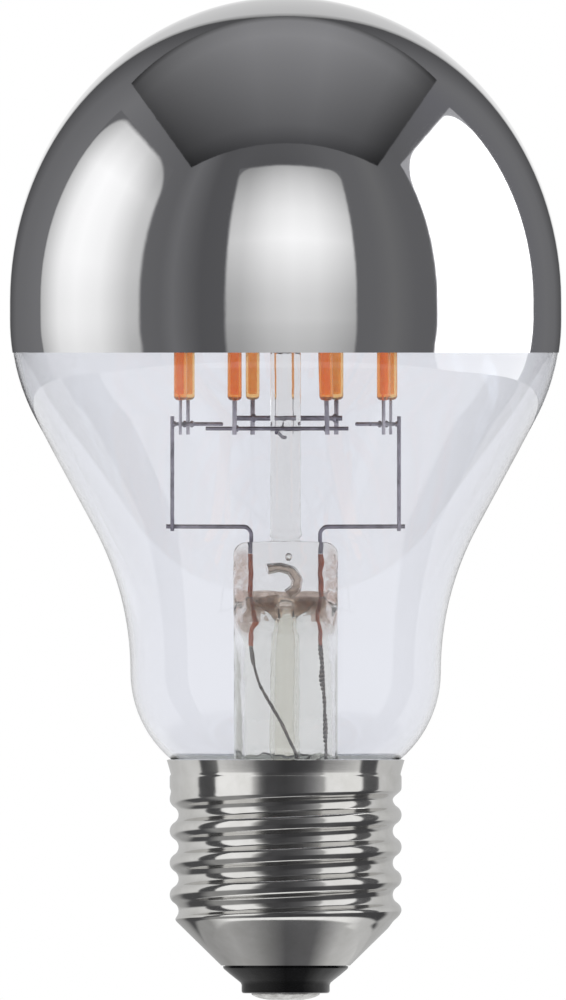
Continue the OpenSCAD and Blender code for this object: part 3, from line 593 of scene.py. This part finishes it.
# Drawn wire: metal with streaks along its length and patches of heat tint
def wireMaterial(name, dark, light, roughness, metal=1.0, grit=0.25):
    material, tree, shader, output = newMaterial(name, {"Metallic": metal, "Roughness": roughness})
    patches = objectNoise(tree, 1.6, 4.0)
    streaks = objectNoise(tree, 0.12, 2.0, (1, 1, 0.2))
    tone = rampNode(tree, patches.outputs["Fac"], [(0.35, dark), (0.65, light)])
    bump = addNode(tree, "ShaderNodeBump", {"Strength": grit, "Distance": 0.00003}, {"Height": streaks.outputs["Fac"]})
    tree.links.new(tone.outputs["Color"], shader.inputs["Base Color"])
    tree.links.new(bump.outputs["Normal"], shader.inputs["Normal"])
    return material


nickelWire = wireMaterial("nickelWireDrawn", "#5d5764", "#8d8894", 0.34)
anchorWire = wireMaterial("molybdenumWireDrawn", "#46424e", "#6e6876", 0.4)
tabSteel = wireMaterial("platedSteelStripStamped", "#8e8a94", "#b4b0b8", 0.36)
copperClad = wireMaterial("copperCladWireOxidised", "#8a3f26", "#b4623f", 0.42, 0.8)
tinnedLead = wireMaterial("tinnedCopperWireTwisted", "#4a4442", "#7a706a", 0.45)


# A board part's finish: two tones of fine grain, with bump
def plainFinish(name, dark, light, roughness, grain, metal=0.0, depth=0.00005):
    material, tree, shader, output = newMaterial(name, {"Metallic": metal, "Roughness": roughness})
    texture = objectNoise(tree, grain, 4.0)
    tone = rampNode(tree, texture.outputs["Fac"], [(0.35, dark), (0.65, light)])
    bump = addNode(tree, "ShaderNodeBump", {"Strength": 0.3, "Distance": depth}, {"Height": texture.outputs["Fac"]})
    tree.links.new(tone.outputs["Color"], shader.inputs["Base Color"])
    tree.links.new(bump.outputs["Normal"], shader.inputs["Normal"])
    return material


cementPlaster = plainFinish("cappingCementBaked", "#e4e0d6", "#f4f2ec", 0.85, 0.8)
boardLaminate = plainFinish("glassEpoxyLaminateGreen", "#1c5a34", "#2a7042", 0.45, 0.6)
blackEpoxy = plainFinish("blackEpoxyMoulded", "#141415", "#202022", 0.55, 0.3)
capacitorSleeve = plainFinish("heatShrinkSleeveBlue", "#1b2f6a", "#23397c", 0.3, 2.0)
resistorLacquer = plainFinish("resistorLacquerDipped", "#2f7c58", "#3a8c66", 0.35, 0.7)
print("materials made")

# ---- envelope and mirror
envelope = {
    "bulbR": 31.24, "crownH": 34.2, "bandH": 2.2, "shoulderBend": 24.0, "flankAngle": 28.4, "throatBend": 34.5,
    "waistR": 17.6, "waistZ": 37.2, "footBend": 13.0, "neckR": 11.5, "neckEndZ": 23.0, "wall": 0.55,
    "mirrorDrop": 3.8, "coat": 0.12, "coatGap": 0.012, "segments": 192,
}


# Points [radius, height] of the glass moved outwards by d: the crown down to the mirror's edge, or the rest
def envelopePoints(e, d, part):
    lean = math.radians(e["flankAngle"])
    throatTopR = e["waistR"] + e["throatBend"] * (1 - math.cos(lean))
    throatTopZ = e["waistZ"] + e["throatBend"] * math.sin(lean)
    shoulderR = e["bulbR"] - e["shoulderBend"] * (1 - math.cos(lean))
    shoulderZ = throatTopZ + (shoulderR - throatTopR) / math.tan(lean)
    bandZ = shoulderZ + e["shoulderBend"] * math.sin(lean)
    widestZ = bandZ + e["bandH"]
    edge = math.asin(e["mirrorDrop"] / e["shoulderBend"])
    centreR = e["bulbR"] - e["shoulderBend"]
    if part == "crown":
        points = []
        for i in range(41):
            a = math.pi / 2 * (1 - i / 40)
            points.append(((e["bulbR"] + d) * math.cos(a), widestZ + (e["crownH"] + d) * math.sin(a)))
        for i in range(5):
            a = -edge * i / 4
            points.append((centreR + (e["shoulderBend"] + d) * math.cos(a), bandZ + (e["shoulderBend"] + d) * math.sin(a)))
        points[0] = (0.0, points[0][1])
        return points
    points = []
    for i in range(1, 15):
        a = -edge - (lean - edge) * i / 14
        points.append((centreR + (e["shoulderBend"] + d) * math.cos(a), bandZ + (e["shoulderBend"] + d) * math.sin(a)))
    steps = 4                                             # rings on the straight flank
    top = (throatTopR + d * math.cos(lean), throatTopZ - d * math.sin(lean))
    for i in range(1, steps):
        t = i / steps
        points.append((points[13][0] + (top[0] - points[13][0]) * t, points[13][1] + (top[1] - points[13][1]) * t))
    for i in range(17):
        a = math.pi - lean + lean * i / 16
        points.append((e["waistR"] + e["throatBend"] + (e["throatBend"] - d) * math.cos(a),
                       e["waistZ"] + (e["throatBend"] - d) * math.sin(a)))
    footCentre = e["waistR"] - e["footBend"]
    end = math.acos((e["neckR"] + d - footCentre) / (e["footBend"] + d))
    for i in range(1, 15):
        a = -end * i / 14
        points.append((footCentre + (e["footBend"] + d) * math.cos(a), e["waistZ"] + (e["footBend"] + d) * math.sin(a)))
    points.append((e["neckR"] + d, e["neckEndZ"]))
    return points


outside = envelopePoints(envelope, 0.0, "crown") + envelopePoints(envelope, 0.0, "rest")
inside = envelopePoints(envelope, -envelope["wall"], "crown") + envelopePoints(envelope, -envelope["wall"], "rest")
bulb = turnRings("bulbGlass", outside + inside[::-1], envelope["segments"])
finishPiece(bulb, blownGlass, ["glass_envelope"])

outer = envelopePoints(envelope, envelope["coat"], "crown")
inner = envelopePoints(envelope, envelope["coatGap"], "crown")
mirror = turnRings("mirrorCoat", outer + inner[::-1], envelope["segments"])
finishPiece(mirror, silverMirror, ["mirror_crown"])
print("envelope and mirror turned")

# ---- stem: flared tube, press, exhaust tube and rod, fused to one glass
stem = {
    "tubeR": 5.9, "wall": 1.0, "flareBend": 4.6, "rimZ": 22.0, "rimR": 11.5, "pressZ": 41.0, "pressRun": 4.7,
    "pressTop": 52.1, "pressHalf": 1.9, "corner": 1.5, "domeZ": 43.0, "exhaustR": 1.55, "boreR": 1.05, "tipZ": 15.5,
    "ventZ": 44.8, "rodR": 1.73, "rodTop": 102.0, "segments": 144,
}


def arcPoints(centre, radius, start, stop, steps):
    return [(centre[0] + radius * math.cos(math.radians(start + (stop - start) * i / steps)),
             centre[1] + radius * math.sin(math.radians(start + (stop - start) * i / steps))) for i in range(steps + 1)]


bendCentre = (stem["tubeR"] + stem["flareBend"], stem["rimZ"] + stem["wall"] + stem["flareBend"])
bore = stem["tubeR"] - stem["wall"]
rings = [(0.0, stem["tipZ"])]
for i in range(1, 7):                                     # sealed tip of the exhaust tube
    a = math.pi / 2 * i / 6
    rings.append((stem["exhaustR"] * math.sin(a), stem["tipZ"] + 2.4 * (1 - math.cos(a))))
for z in (22, 28, 34, 38, 41, 42.4):
    rings.append((stem["exhaustR"], z))
# fused foot of the press, which sags round the exhaust tube and rises to both sides
rings += [(stem["exhaustR"] + 0.1, 42.8), (1.9, 43.1), (2.4, 43.5), (3.0, 44.2), (3.5, 45.0), (3.95, 45.6), (4.3, 45.8), (4.6, 45.5),
          (4.78, 44.8), (bore - 0.02, 43.8), (bore, 42.6), (bore, 41.2), (bore, 40)]
for z in (38, 34, 31):
    rings.append((bore, z))
rings += arcPoints(bendCentre, stem["flareBend"] + stem["wall"], 180, 270, 12)
rings.append((stem["rimR"], stem["rimZ"]))
rings.append((stem["rimR"], stem["rimZ"] + stem["wall"] - 0.02))
rings += arcPoints(bendCentre, stem["flareBend"], 270, 180, 12)
for z in (31, 34, 38, 40.5):
    rings.append((stem["tubeR"], z))
for i in range(1, 33):                                    # flattened zone and press
    rings.append((stem["tubeR"], stem["pressZ"] + (stem["pressTop"] - stem["corner"] - stem["pressZ"]) * i / 32))
for i in range(1, 6):
    a = math.pi / 2 * i / 6
    rings.append((stem["tubeR"] - stem["corner"] * (1 - math.cos(a)),
                  stem["pressTop"] - stem["corner"] * (1 - math.sin(a))))
rings += [(3.2, stem["pressTop"] + 0.02), (2.2, stem["pressTop"] + 0.06), (1.72, stem["pressTop"] + 0.14),
          (1.6, stem["pressTop"] + 0.3), (1.66, stem["pressTop"] + 0.5), (1.84, stem["pressTop"] + 0.68),
          (1.86, stem["pressTop"] + 0.9), (1.76, stem["pressTop"] + 1.3), (stem["rodR"], stem["pressTop"] + 1.9)]
for z in (58, 64, 70, 76, 84, 92, 98.4):
    rings.append((stem["rodR"], z))
top = stem["rodTop"]
rings += [(stem["rodR"] + 0.12, top - 2.95), (stem["rodR"] + 0.45, top - 2.5), (stem["rodR"] + 0.66, top - 1.9),
          (stem["rodR"] + 0.74, top - 1.2), (stem["rodR"] + 0.5, top - 0.55), (stem["rodR"] - 0.1, top - 0.15),
          (stem["rodR"] - 0.9, top - 0.02), (0.0, top)]
stemBody = turnRings("stemGlass", rings, stem["segments"])
for vertex in stemBody.data.vertices:                     # squeeze the tube flat between the press jaws
    x, y, z = vertex.co / mm
    r = math.hypot(x, y)
    flat = smooth((z - stem["pressZ"]) / stem["pressRun"])
    halfY = stem["tubeR"] + (stem["pressHalf"] - stem["tubeR"]) * flat
    if (r > 5.2 and z > stem["pressZ"]) or (z > 46.5 and z < stem["pressTop"] + 0.1 and r > 2.1):
        power = 2.0 + 2.2 * flat * min(1.0, (r - 1.95) / 1.5)
        c, s = x / r, y / r
        stretch = (abs(c) ** power + abs(s) ** power) ** (-1 / power)
        wave = 0.11 * flat * noise.noise(Vector((x * 0.5, y * 0.6, z * 0.8)))
        side = 0.16 * flat * smooth((abs(x) - 3.2) / 1.5) * noise.noise(Vector((x * 0.3, y * 1.3, z * 1.6 + 7)))
        vertex.co = Vector((r * c * stretch + wave, min(halfY, r) * s * stretch * (1 + wave + side), z)) * mm
    elif stem["exhaustR"] + 0.2 < r < 5.0 and z < 46.4:   # the cavity follows the squeeze, its wall drawn a little uneven
        inward = (halfY - 0.75) / (stem["tubeR"] - 0.75) if z > stem["pressZ"] else 1.0
        lobe = 1 + 0.03 * math.cos(3 * math.atan2(y, x) + 0.7) * smooth((r - 4) / 0.8) * smooth((40.5 - z) / 3)
        vertex.co = Vector((x * lobe, y * min(1.0, inward) * lobe, z)) * mm


def cutWith(piece, cutter):
    clearSelection()
    bpy.context.view_layer.objects.active = piece
    piece.select_set(True)
    cut = piece.modifiers.new("cut", "BOOLEAN")
    cut.operation = "DIFFERENCE"
    cut.object = cutter
    cut.solver = "EXACT"
    bpy.ops.object.modifier_apply(modifier=cut.name)
    bpy.data.objects.remove(cutter)


boreTool = turnRings("boreTool", [(0.0, stem["tipZ"] + 1.0), (stem["boreR"] * 0.7, stem["tipZ"] + 1.6),
                                  (stem["boreR"], stem["tipZ"] + 2.8), (stem["boreR"], 30), (stem["boreR"], 42),
                                  (stem["boreR"] * 0.98, stem["ventZ"] - 0.2), (stem["boreR"] * 0.6, stem["ventZ"] + 0.5),
                                  (0.0, stem["ventZ"] + 0.7)], 40)
cutWith(stemBody, boreTool)
ventTool = turnRings("ventTool", [(0.0, 0.35), (0.9, 0.4), (0.92, 1.2), (1.02, 2.2), (1.3, 3.4), (0.0, 3.6)], 40)
for vertex in ventTool.data.vertices:                     # lay the tool down so that it points to the front
    x, y, z = vertex.co / mm
    vertex.co = Vector((x, -z, y * 0.45 + stem["ventZ"])) * mm
clearSelection()
bpy.context.view_layer.objects.active = ventTool
ventTool.select_set(True)
bpy.ops.object.mode_set(mode="EDIT")
bpy.ops.mesh.select_all(action="SELECT")
bpy.ops.mesh.normals_make_consistent(inside=False)
bpy.ops.object.mode_set(mode="OBJECT")
cutWith(stemBody, ventTool)
clearSelection()
bpy.ops.mesh.primitive_uv_sphere_add(segments=24, ring_count=16, radius=0.42 * mm, location=(0.32 * mm, -0.9 * mm, 50.35 * mm))
cutWith(stemBody, bpy.context.object)                     # air bubble in the press
blowRoute = rounded([(-2.1, -0.2, 49.0), (-0.7, 0.05, 49.25), (0.7, 0.1, 48.8), (1.3, 0, 47.7), (1.1, -0.1, 46.7), (0.3, -0.1, 46.1)], 0.6)
cutWith(stemBody, drawWire("blowTool", blowRoute, 1.35, 3))   # curled hollow that the vent's blow leaves above it
finishPiece(stemBody, stemGlass, ["stem_tube", "exhaust_tube", "support_rod"], 40)
stemBody.data.materials.append(scorchedGlass)
for face in stemBody.data.polygons:
    centre = face.center / mm
    curl = abs(centre.x) < 2.8 and abs(centre.y) < 0.9 and 45.55 < centre.z < 50.0
    foot = 42.75 < centre.z < 46.3 and stem["exhaustR"] + 0.05 < math.hypot(centre.x, centre.y) < 4.85 and abs(centre.y) < 2.6
    if curl or foot:
        face.material_index = 1
print("stem drawn")

# ---- filaments on their ring
ring = {"radius": 12.5, "turn": -5.0, "count": 8, "bodyD": 1.7, "bodyZ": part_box("led_filament_1")[0][2] / mm, "bodyL": 30.0,
        "tabL": 3.8, "tabW": 0.5, "tabT": 0.25, "linkD": 0.45,
        "gelD": 1.6, "stripW": 0.72, "stripT": 0.5, "leaning": 6, "lean": 0.85}


def ringAngle(i):
    return math.radians(ring["turn"] + 360 / ring["count"] * (i + 0.5))


def ringPoint(i, r, z):
    return Vector((r * math.cos(ringAngle(i)), r * math.sin(ringAngle(i)), z))


# One filament was welded on a little askew: its foot stands aside, its top is in place
def leanOver(piece, i):
    if i == ring["leaning"]:
        for vertex in piece.data.vertices:
            vertex.co.x += ring["lean"] * mm * (1 - (vertex.co.z / mm - ring["bodyZ"]) / ring["bodyL"])


half, flatR = ring["gelD"] / 2, 0.3
capRings = [(0.0, 0.0), (flatR, 0.0)] + [
    (flatR + (half - flatR) * math.sin(math.pi / 2 * i / 6), (half - flatR) * (1 - math.cos(math.pi / 2 * i / 6)))
    for i in range(1, 7)]
bodyRings = capRings + [(half, ring["bodyL"] * i / 30) for i in range(2, 29)] \
    + [(r, ring["bodyL"] - z) for r, z in capRings[::-1]]
firstBody = turnRings("filamentPattern", bodyRings, 28)
clearSelection()
bpy.ops.mesh.primitive_cube_add(size=1, location=(0, 0, ring["bodyL"] / 2 * mm))
firstStrip = bpy.context.object
firstStrip.scale = (ring["stripW"] * mm, ring["stripT"] * mm, (ring["bodyL"] - 1.3) * mm)
applyPlace(firstStrip)
softEdge = firstStrip.modifiers.new("edge", "BEVEL")
softEdge.width = 0.16 * mm
softEdge.segments = 3
bpy.ops.object.modifier_apply(modifier=softEdge.name)
firstTab = None
for z in (ring["bodyZ"] - ring["tabL"], ring["bodyZ"] + ring["bodyL"]):
    clearSelection()
    bpy.ops.mesh.primitive_cube_add(size=1, location=(0, 0, (z + ring["tabL"] / 2) * mm))
    strip = bpy.context.object
    strip.scale = (ring["tabW"] * mm, ring["tabT"] * mm, ring["tabL"] * mm)
    applyPlace(strip)
    edgeBevel = strip.modifiers.new("edge", "BEVEL")
    edgeBevel.width = 0.05 * mm
    edgeBevel.segments = 2
    bpy.ops.object.modifier_apply(modifier=edgeBevel.name)
    firstTab = strip if firstTab is None else joinPieces("tabPattern", [firstTab, strip])
for i in range(ring["count"]):
    place = ringPoint(i, ring["radius"], ring["bodyZ"])
    body = firstBody.copy()
    body.data = firstBody.data.copy()
    body.name = f"filament{i + 1}"
    scene.collection.objects.link(body)
    for vertex in body.data.vertices:                     # the coat is drawn on by hand-size drops: it isn't quite even
        grow = 1 + 0.035 * noise.noise(Vector((vertex.co.z * 260, i * 7.3, 0)))
        vertex.co = Vector((vertex.co.x * grow, vertex.co.y * grow * 0.94, vertex.co.z))
    body.data.transform(Matrix.Translation(place * mm) @ Matrix.Rotation(ringAngle(i) + math.pi / 2, 4, "Z"))
    leanOver(body, i)
    finishPiece(body, phosphorAmber if i < 4 else phosphorRed, [f"led_filament_{i + 1}"])
    strip = firstStrip.copy()
    strip.data = firstStrip.data.copy()
    strip.name = f"chipStrip{i + 1}"
    scene.collection.objects.link(strip)
    strip.data.transform(Matrix.Translation(place * mm) @ Matrix.Rotation(ringAngle(i) + math.pi / 2, 4, "Z"))
    leanOver(strip, i)
    finishPiece(strip, chipCoat, [])
    tab = firstTab.copy()
    tab.data = firstTab.data.copy()
    tab.name = f"filamentTabs{i + 1}"
    scene.collection.objects.link(tab)
    tab.data.transform(Matrix.Translation(Vector((place.x, place.y, 0)) * mm)
                       @ Matrix.Rotation(ringAngle(i) + math.pi / 2, 4, "Z"))
    leanOver(tab, i)
    finishPiece(tab, tabSteel, [f"filament_tabs_{i + 1}"])
bpy.data.objects.remove(firstBody)
bpy.data.objects.remove(firstTab)
bpy.data.objects.remove(firstStrip)
print("filaments placed")

# ---- links, anchors, risers and leads
wires = {"wireD": 0.45, "anchorD": 0.4, "sealD": 0.5, "clear": 0.05, "riserX": 12.85, "sealX": 3.9, "leadRise": 1.7,
         "longTail": 5.2, "shortTail": 2.2}
halfStep = math.radians(180 / ring["count"])
linkR = ring["radius"] - ring["tabT"] / 2 - (ring["linkD"] / 2 + ring["tabW"] / 2 * math.sin(halfStep)
                                             + wires["clear"] / 2) / math.cos(halfStep)
frontZ = ring["bodyZ"] - 3.1
sideZ, backZ = frontZ + 0.5, frontZ + 1.1
upperZ = ring["bodyZ"] + ring["bodyL"] + 2.6
leadZ = stem["pressTop"] + wires["leadRise"]


def beyond(a, b, extra):
    return b + (b - a).normalized() * extra


# A link with the lumps of its welds
def linkWire(name, path, welds, replaced, bend=1.2):
    pieces = [drawWire(name, rounded(path, bend) if len(path) > 2 else path, ring["linkD"])]
    pieces += [weldNugget(place, ring["linkD"] * 1.35) for place in welds]
    finishPiece(joinPieces(name, pieces), nickelWire, [replaced])


f5, f6 = ringPoint(5, linkR, frontZ), ringPoint(6, linkR, frontZ)
b1, b2 = ringPoint(1, linkR, backZ), ringPoint(2, linkR, backZ)
linkWire("linkFront", [beyond(f6, f5, 3.5), beyond(f5, f6, 3.5)], [f5, beyond(f5, f6, ring["lean"] * 1.1)], "lower_link_front")
linkWire("linkBack", [beyond(b1, b2, 2.4), beyond(b2, b1, 0.9)], [b1, b2], "lower_link_back")
riserY = -(wires["wireD"] + wires["clear"])
riserLinkX = wires["riserX"] - (wires["wireD"] + ring["linkD"]) / 2 - wires["clear"]
for name, back, front, side in (("left", 3, 4, -1), ("right", 0, 7, 1)):
    p, q = ringPoint(back, linkR, sideZ), ringPoint(front, linkR, sideZ)
    knee = Vector((side * riserLinkX, riserY, sideZ))
    path = [p + Vector((-side * 0.65, 0.76, 0)) * wires["longTail"], p, knee, q,
            q + Vector((-side * 0.5, -0.87, 0)) * wires["shortTail"]]
    linkWire("link" + name.title(), path, [p, q], f"lower_link_{name}")
for k, (i, j) in enumerate(((0, 1), (2, 3), (4, 5), (6, 7))):
    p, q = ringPoint(i, linkR, upperZ), ringPoint(j, linkR, upperZ)
    linkWire(f"linkUpper{k + 1}", [beyond(q, p, 1), beyond(p, q, 1)], [p, q], f"upper_link_{k + 1}")


def anchorPath(target, rootZ):
    flatTarget = Vector((target.x, target.y, 0))
    way, reach = flatTarget.normalized(), flatTarget.length
    under = target.z - (ring["linkD"] + wires["anchorD"]) / 2 - wires["clear"]
    points = [way * stem["rodR"] * 0.5, way * (stem["rodR"] + 2), way * (reach - 1.6), way * (reach + 0.9)]
    return [Vector((p.x, p.y, z)) for p, z in zip(points, (rootZ, rootZ, under, under))]


anchors = [("Front", (f5 + f6) / 2, frontZ - 1, "lower_anchor_front"), ("Back", (b1 + b2) / 2, backZ - 1.2, "lower_anchor_back")]
for k, (i, j) in enumerate(((0, 1), (2, 3), (4, 5), (6, 7))):
    middle = (ringPoint(i, linkR, upperZ) + ringPoint(j, linkR, upperZ)) / 2
    anchors.append((f"Upper{k + 1}", middle, upperZ - 1, f"upper_anchor_{k + 1}"))
for name, target, rootZ, replaced in anchors:
    wire = drawWire("anchor" + name, rounded(anchorPath(target, rootZ), 0.8), wires["anchorD"])
    finishPiece(wire, anchorWire, [replaced])

for name, side in (("left", -1), ("right", 1)):
    weldZ = stem["pressTop"] - 1.4
    lead = drawWire("leadInner" + name.title(), rounded([
        (side * wires["sealX"], 0, weldZ + wires["clear"]), (side * wires["sealX"], 0, leadZ),
        (side * (wires["riserX"] + 0.7), 0, leadZ)], 0.9, 8), wires["wireD"])
    finishPiece(lead, nickelWire, [f"inner_lead_{name}"])
    riserX = side * wires["riserX"]
    pieces = [drawWire("riser", [(riserX, riserY, leadZ - 0.5), (riserX, riserY, 60), (riserX, riserY, sideZ + 0.8)], wires["wireD"]),
              weldNugget((riserX, riserY / 2, leadZ), 0.5), weldNugget((riserX - side * 0.24, riserY, sideZ), 0.5)]
    finishPiece(joinPieces("riser" + name.title(), pieces), nickelWire, [f"riser_{name}"])
    seal = drawWire("seal" + name.title(), [(side * wires["sealX"], 0, stem["pressZ"] - 0.7), (side * wires["sealX"], 0, 46),
                                            (side * wires["sealX"], 0, weldZ)], wires["sealD"])
    finishPiece(seal, copperClad, [f"seal_wire_{name}"])

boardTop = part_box("driver_board")[1][2] / mm
sealLow = stem["pressZ"] - 0.7
px = stem["pressZ"]
leftRoute = rounded([(-3.9, 0, sealLow - 0.05), (-3.9, 0, sealLow - 1.2), (-3, -1.2, px - 4.9), (-0.4, -2.3, px - 9.5),
                     (1.2, -2.4, px - 13.3), (2.5, -2.4, px - 19), (2.5, -2.4, boardTop + 0.05)], 0.8)
finishPiece(drawWire("leadOuterLeft", leftRoute, 0.34), tinnedLead, ["outer_lead_left"])


# A strand wound round a path: turn is the length of one turn
def strandPath(path, radius, turn, phase, step=0.12):
    dense, travelled = [], 0.0
    for a, b in zip(path, path[1:]):
        count = max(1, int((b - a).length / step))
        for k in range(count):
            dense.append(a.lerp(b, k / count))
    dense.append(path[-1])
    result = []
    for k, point in enumerate(dense):
        ahead = dense[min(k + 1, len(dense) - 1)] - dense[max(k - 1, 0)]
        along = ahead.normalized()
        across = along.cross(Vector((0, 1, 0))).normalized()
        other = along.cross(across)
        if k:
            travelled += (point - dense[k - 1]).length
        w = 2 * math.pi * travelled / turn + phase
        result.append(point + (across * math.cos(w) + other * math.sin(w)) * radius)
    return result


rightRoute = rounded([(3.9, 0, sealLow - 0.05), (3.9, 0, sealLow - 3), (4.3, 0, px - 11), (4.3, 0, boardTop + 0.05)], 0.8)
strands = [drawWire("strand", strandPath(rightRoute, 0.155, 1.0, phase, 0.09), 0.3, 2) for phase in (0, math.pi)]
finishPiece(joinPieces("leadOuterRight", strands), tinnedLead, ["outer_lead_right"])
print("wires drawn")

# ---- screw cap
cap = {"crestR": 13.15, "depth": 1.0, "pitch": 3.629, "crestZ": 13.73, "sheet": 0.3, "rimZ": 27.2, "lip": 0.33, "neck": 0.12, "flareZ": 25.6,
       "threadEnd": 24.3, "shellZ": 3.9, "shellR": 7.3, "slope": 1.02, "segments": 200, "ringStep": 0.13}
rootR = cap["crestR"] - cap["depth"]
knuckleR = ((cap["depth"] / 2) ** 2 + (cap["pitch"] / 4) ** 2) / cap["depth"]


def knuckle(s):
    u = abs(s - cap["pitch"] * round(s / cap["pitch"]))
    if u < cap["pitch"] / 4:
        return cap["crestR"] - knuckleR + math.sqrt(knuckleR ** 2 - u * u)
    return rootR + knuckleR - math.sqrt(knuckleR ** 2 - (cap["pitch"] / 2 - u) ** 2)


# The smaller of two, with the corner between them rounded
def softMin(a, b, blend):
    h = max(blend - abs(a - b), 0) / blend
    return min(a, b) - h * h * blend / 4


def shellRadius(z, turn):
    thread = knuckle(z - cap["crestZ"] - cap["pitch"] * turn)
    fade = smooth((z - (cap["threadEnd"] - 1.6)) / 1.5)
    flare = max(0.0, (z - cap["flareZ"]) / (cap["rimZ"] - cap["flareZ"]))
    neck = cap["neck"] * smooth((z - cap["flareZ"] + 0.28) / 0.28) * (1 - flare)
    rolled = thread + (cap["crestR"] - thread) * fade + cap["lip"] * flare ** 1.1 - neck
    return softMin(rolled, cap["shellR"] + cap["slope"] * (z - cap["shellZ"]), 0.7)


rings = [(13.0, cap["shellZ"])]
z = cap["shellZ"]
while z < cap["rimZ"] - 0.3:
    z += cap["ringStep"] if z > 7.5 else 0.35
    rings.append((13.0, z))
rings = rings[:-1] + [(13.0, cap["rimZ"] - 0.12), (13.0, cap["rimZ"])]
shell = turnRings("threadedShell", rings, cap["segments"])
for vertex in shell.data.vertices:                        # roll the thread into the plain sleeve
    x, y, z = vertex.co / mm
    r = shellRadius(z, math.atan2(y, x) / (2 * math.pi))
    vertex.co = Vector((x, y, 0)).normalized() * r * mm + Vector((0, 0, z * mm))
clearSelection()
shell.select_set(True)
bpy.context.view_layer.objects.active = shell
thick = shell.modifiers.new("sheet", "SOLIDIFY")
thick.thickness = cap["sheet"] * mm
thick.offset = -1
bpy.ops.object.modifier_apply(modifier=thick.name)
finishPiece(shell, nickelPlate, ["screw_shell"], 50)

insulator = turnRings("capGlass", [
    (1.55, 0.75), (3.9, 0.75), (4.75, 0.76), (4.93, 0.84), (5.0, 1.0), (5.0, 1.7), (5.1, 1.95), (5.4, 2.2), (6.2, 2.83),
    (6.9, 3.42), (7.08, 3.6), (7.1, 3.85), (6.9, 3.85), (6.9, 3.9), (8.1, 5.08), (9.65, 6.6), (8.75, 6.6), (7.1, 5.4), (5.6, 4.4),
    (3.0, 4.4), (1.55, 4.4), (1.55, 0.75)], 96)
finishPiece(insulator, blackGlass, ["glass_insulator"], 30)

contact = turnRings("centreContact", [
    (0.0, 0.0), (0.6, 0.0), (1.3, 0.0), (1.9, 0.0), (2.5, 0.1), (3.0, 0.2), (3.35, 0.32), (3.65, 0.45), (3.85, 0.58), (3.9, 0.68), (3.88, 0.75),
    (1.5, 0.75), (1.5, 4.7), (0.375, 4.7), (0.375, 1.15), (0.0, 1.15)], 72)
for vertex in contact.data.vertices:                      # the solder's edge isn't a true circle
    x, y, z = vertex.co / mm
    r = math.hypot(x, y)
    if r > 2.2 and z < 0.74:
        vertex.co.xy *= 1 + 0.02 * (noise.noise(Vector((x * 0.5, y * 0.5, 3))) - 0.4) * (r / 3.9)
finishPiece(contact, tinSolder, ["centre_contact"], 30)

cementRings = []                                          # from the shell inwards, then up the outside of the glass foot
footCentre = envelope["waistR"] - envelope["footBend"]
glassFoot = [(footCentre + (envelope["footBend"] + 0.03) * math.cos(a), envelope["waistZ"] + (envelope["footBend"] + 0.03) * math.sin(a))
             for a in (-math.acos((envelope["neckR"] - footCentre) / envelope["footBend"]) * (1 - 0.12 * k / 6) for k in range(7))]
glassFoot = [(r, z) for r, z in glassFoot if z < cap["rimZ"] - 0.12]
cementRings = [(cap["crestR"] - cap["sheet"] - 0.03, 24.7), (envelope["neckR"] + 0.05, 24.7)] + glassFoot \
    + [(glassFoot[-1][0] + 0.1, glassFoot[-1][1]), (cap["crestR"] - cap["sheet"] - 0.03, glassFoot[-1][1]),
       (cap["crestR"] - cap["sheet"] - 0.03, 24.7)]
finishPiece(turnRings("cappingCement", cementRings, 96), cementPlaster, ["capping_cement"])
print("cap rolled")

# ---- pieces inside the cap keep their CAD form
kept = {
    "driver_board": boardLaminate, "smoothing_capacitor": capacitorSleeve,
    "bridge_rectifier": blackEpoxy, "driver_chip": blackEpoxy, "board_resistors": blackEpoxy,
    "fuse_resistor": resistorLacquer, "contact_wire": tinnedLead, "shell_wire": tinnedLead,
}
for nodeName, material in kept.items():
    piece = cadNodes[nodeName]
    piece.data.materials.clear()
    piece.data.materials.append(material)
    usedNodes.add(nodeName)
print("nodes without a look:", sorted(set(cadNodes) - usedNodes))
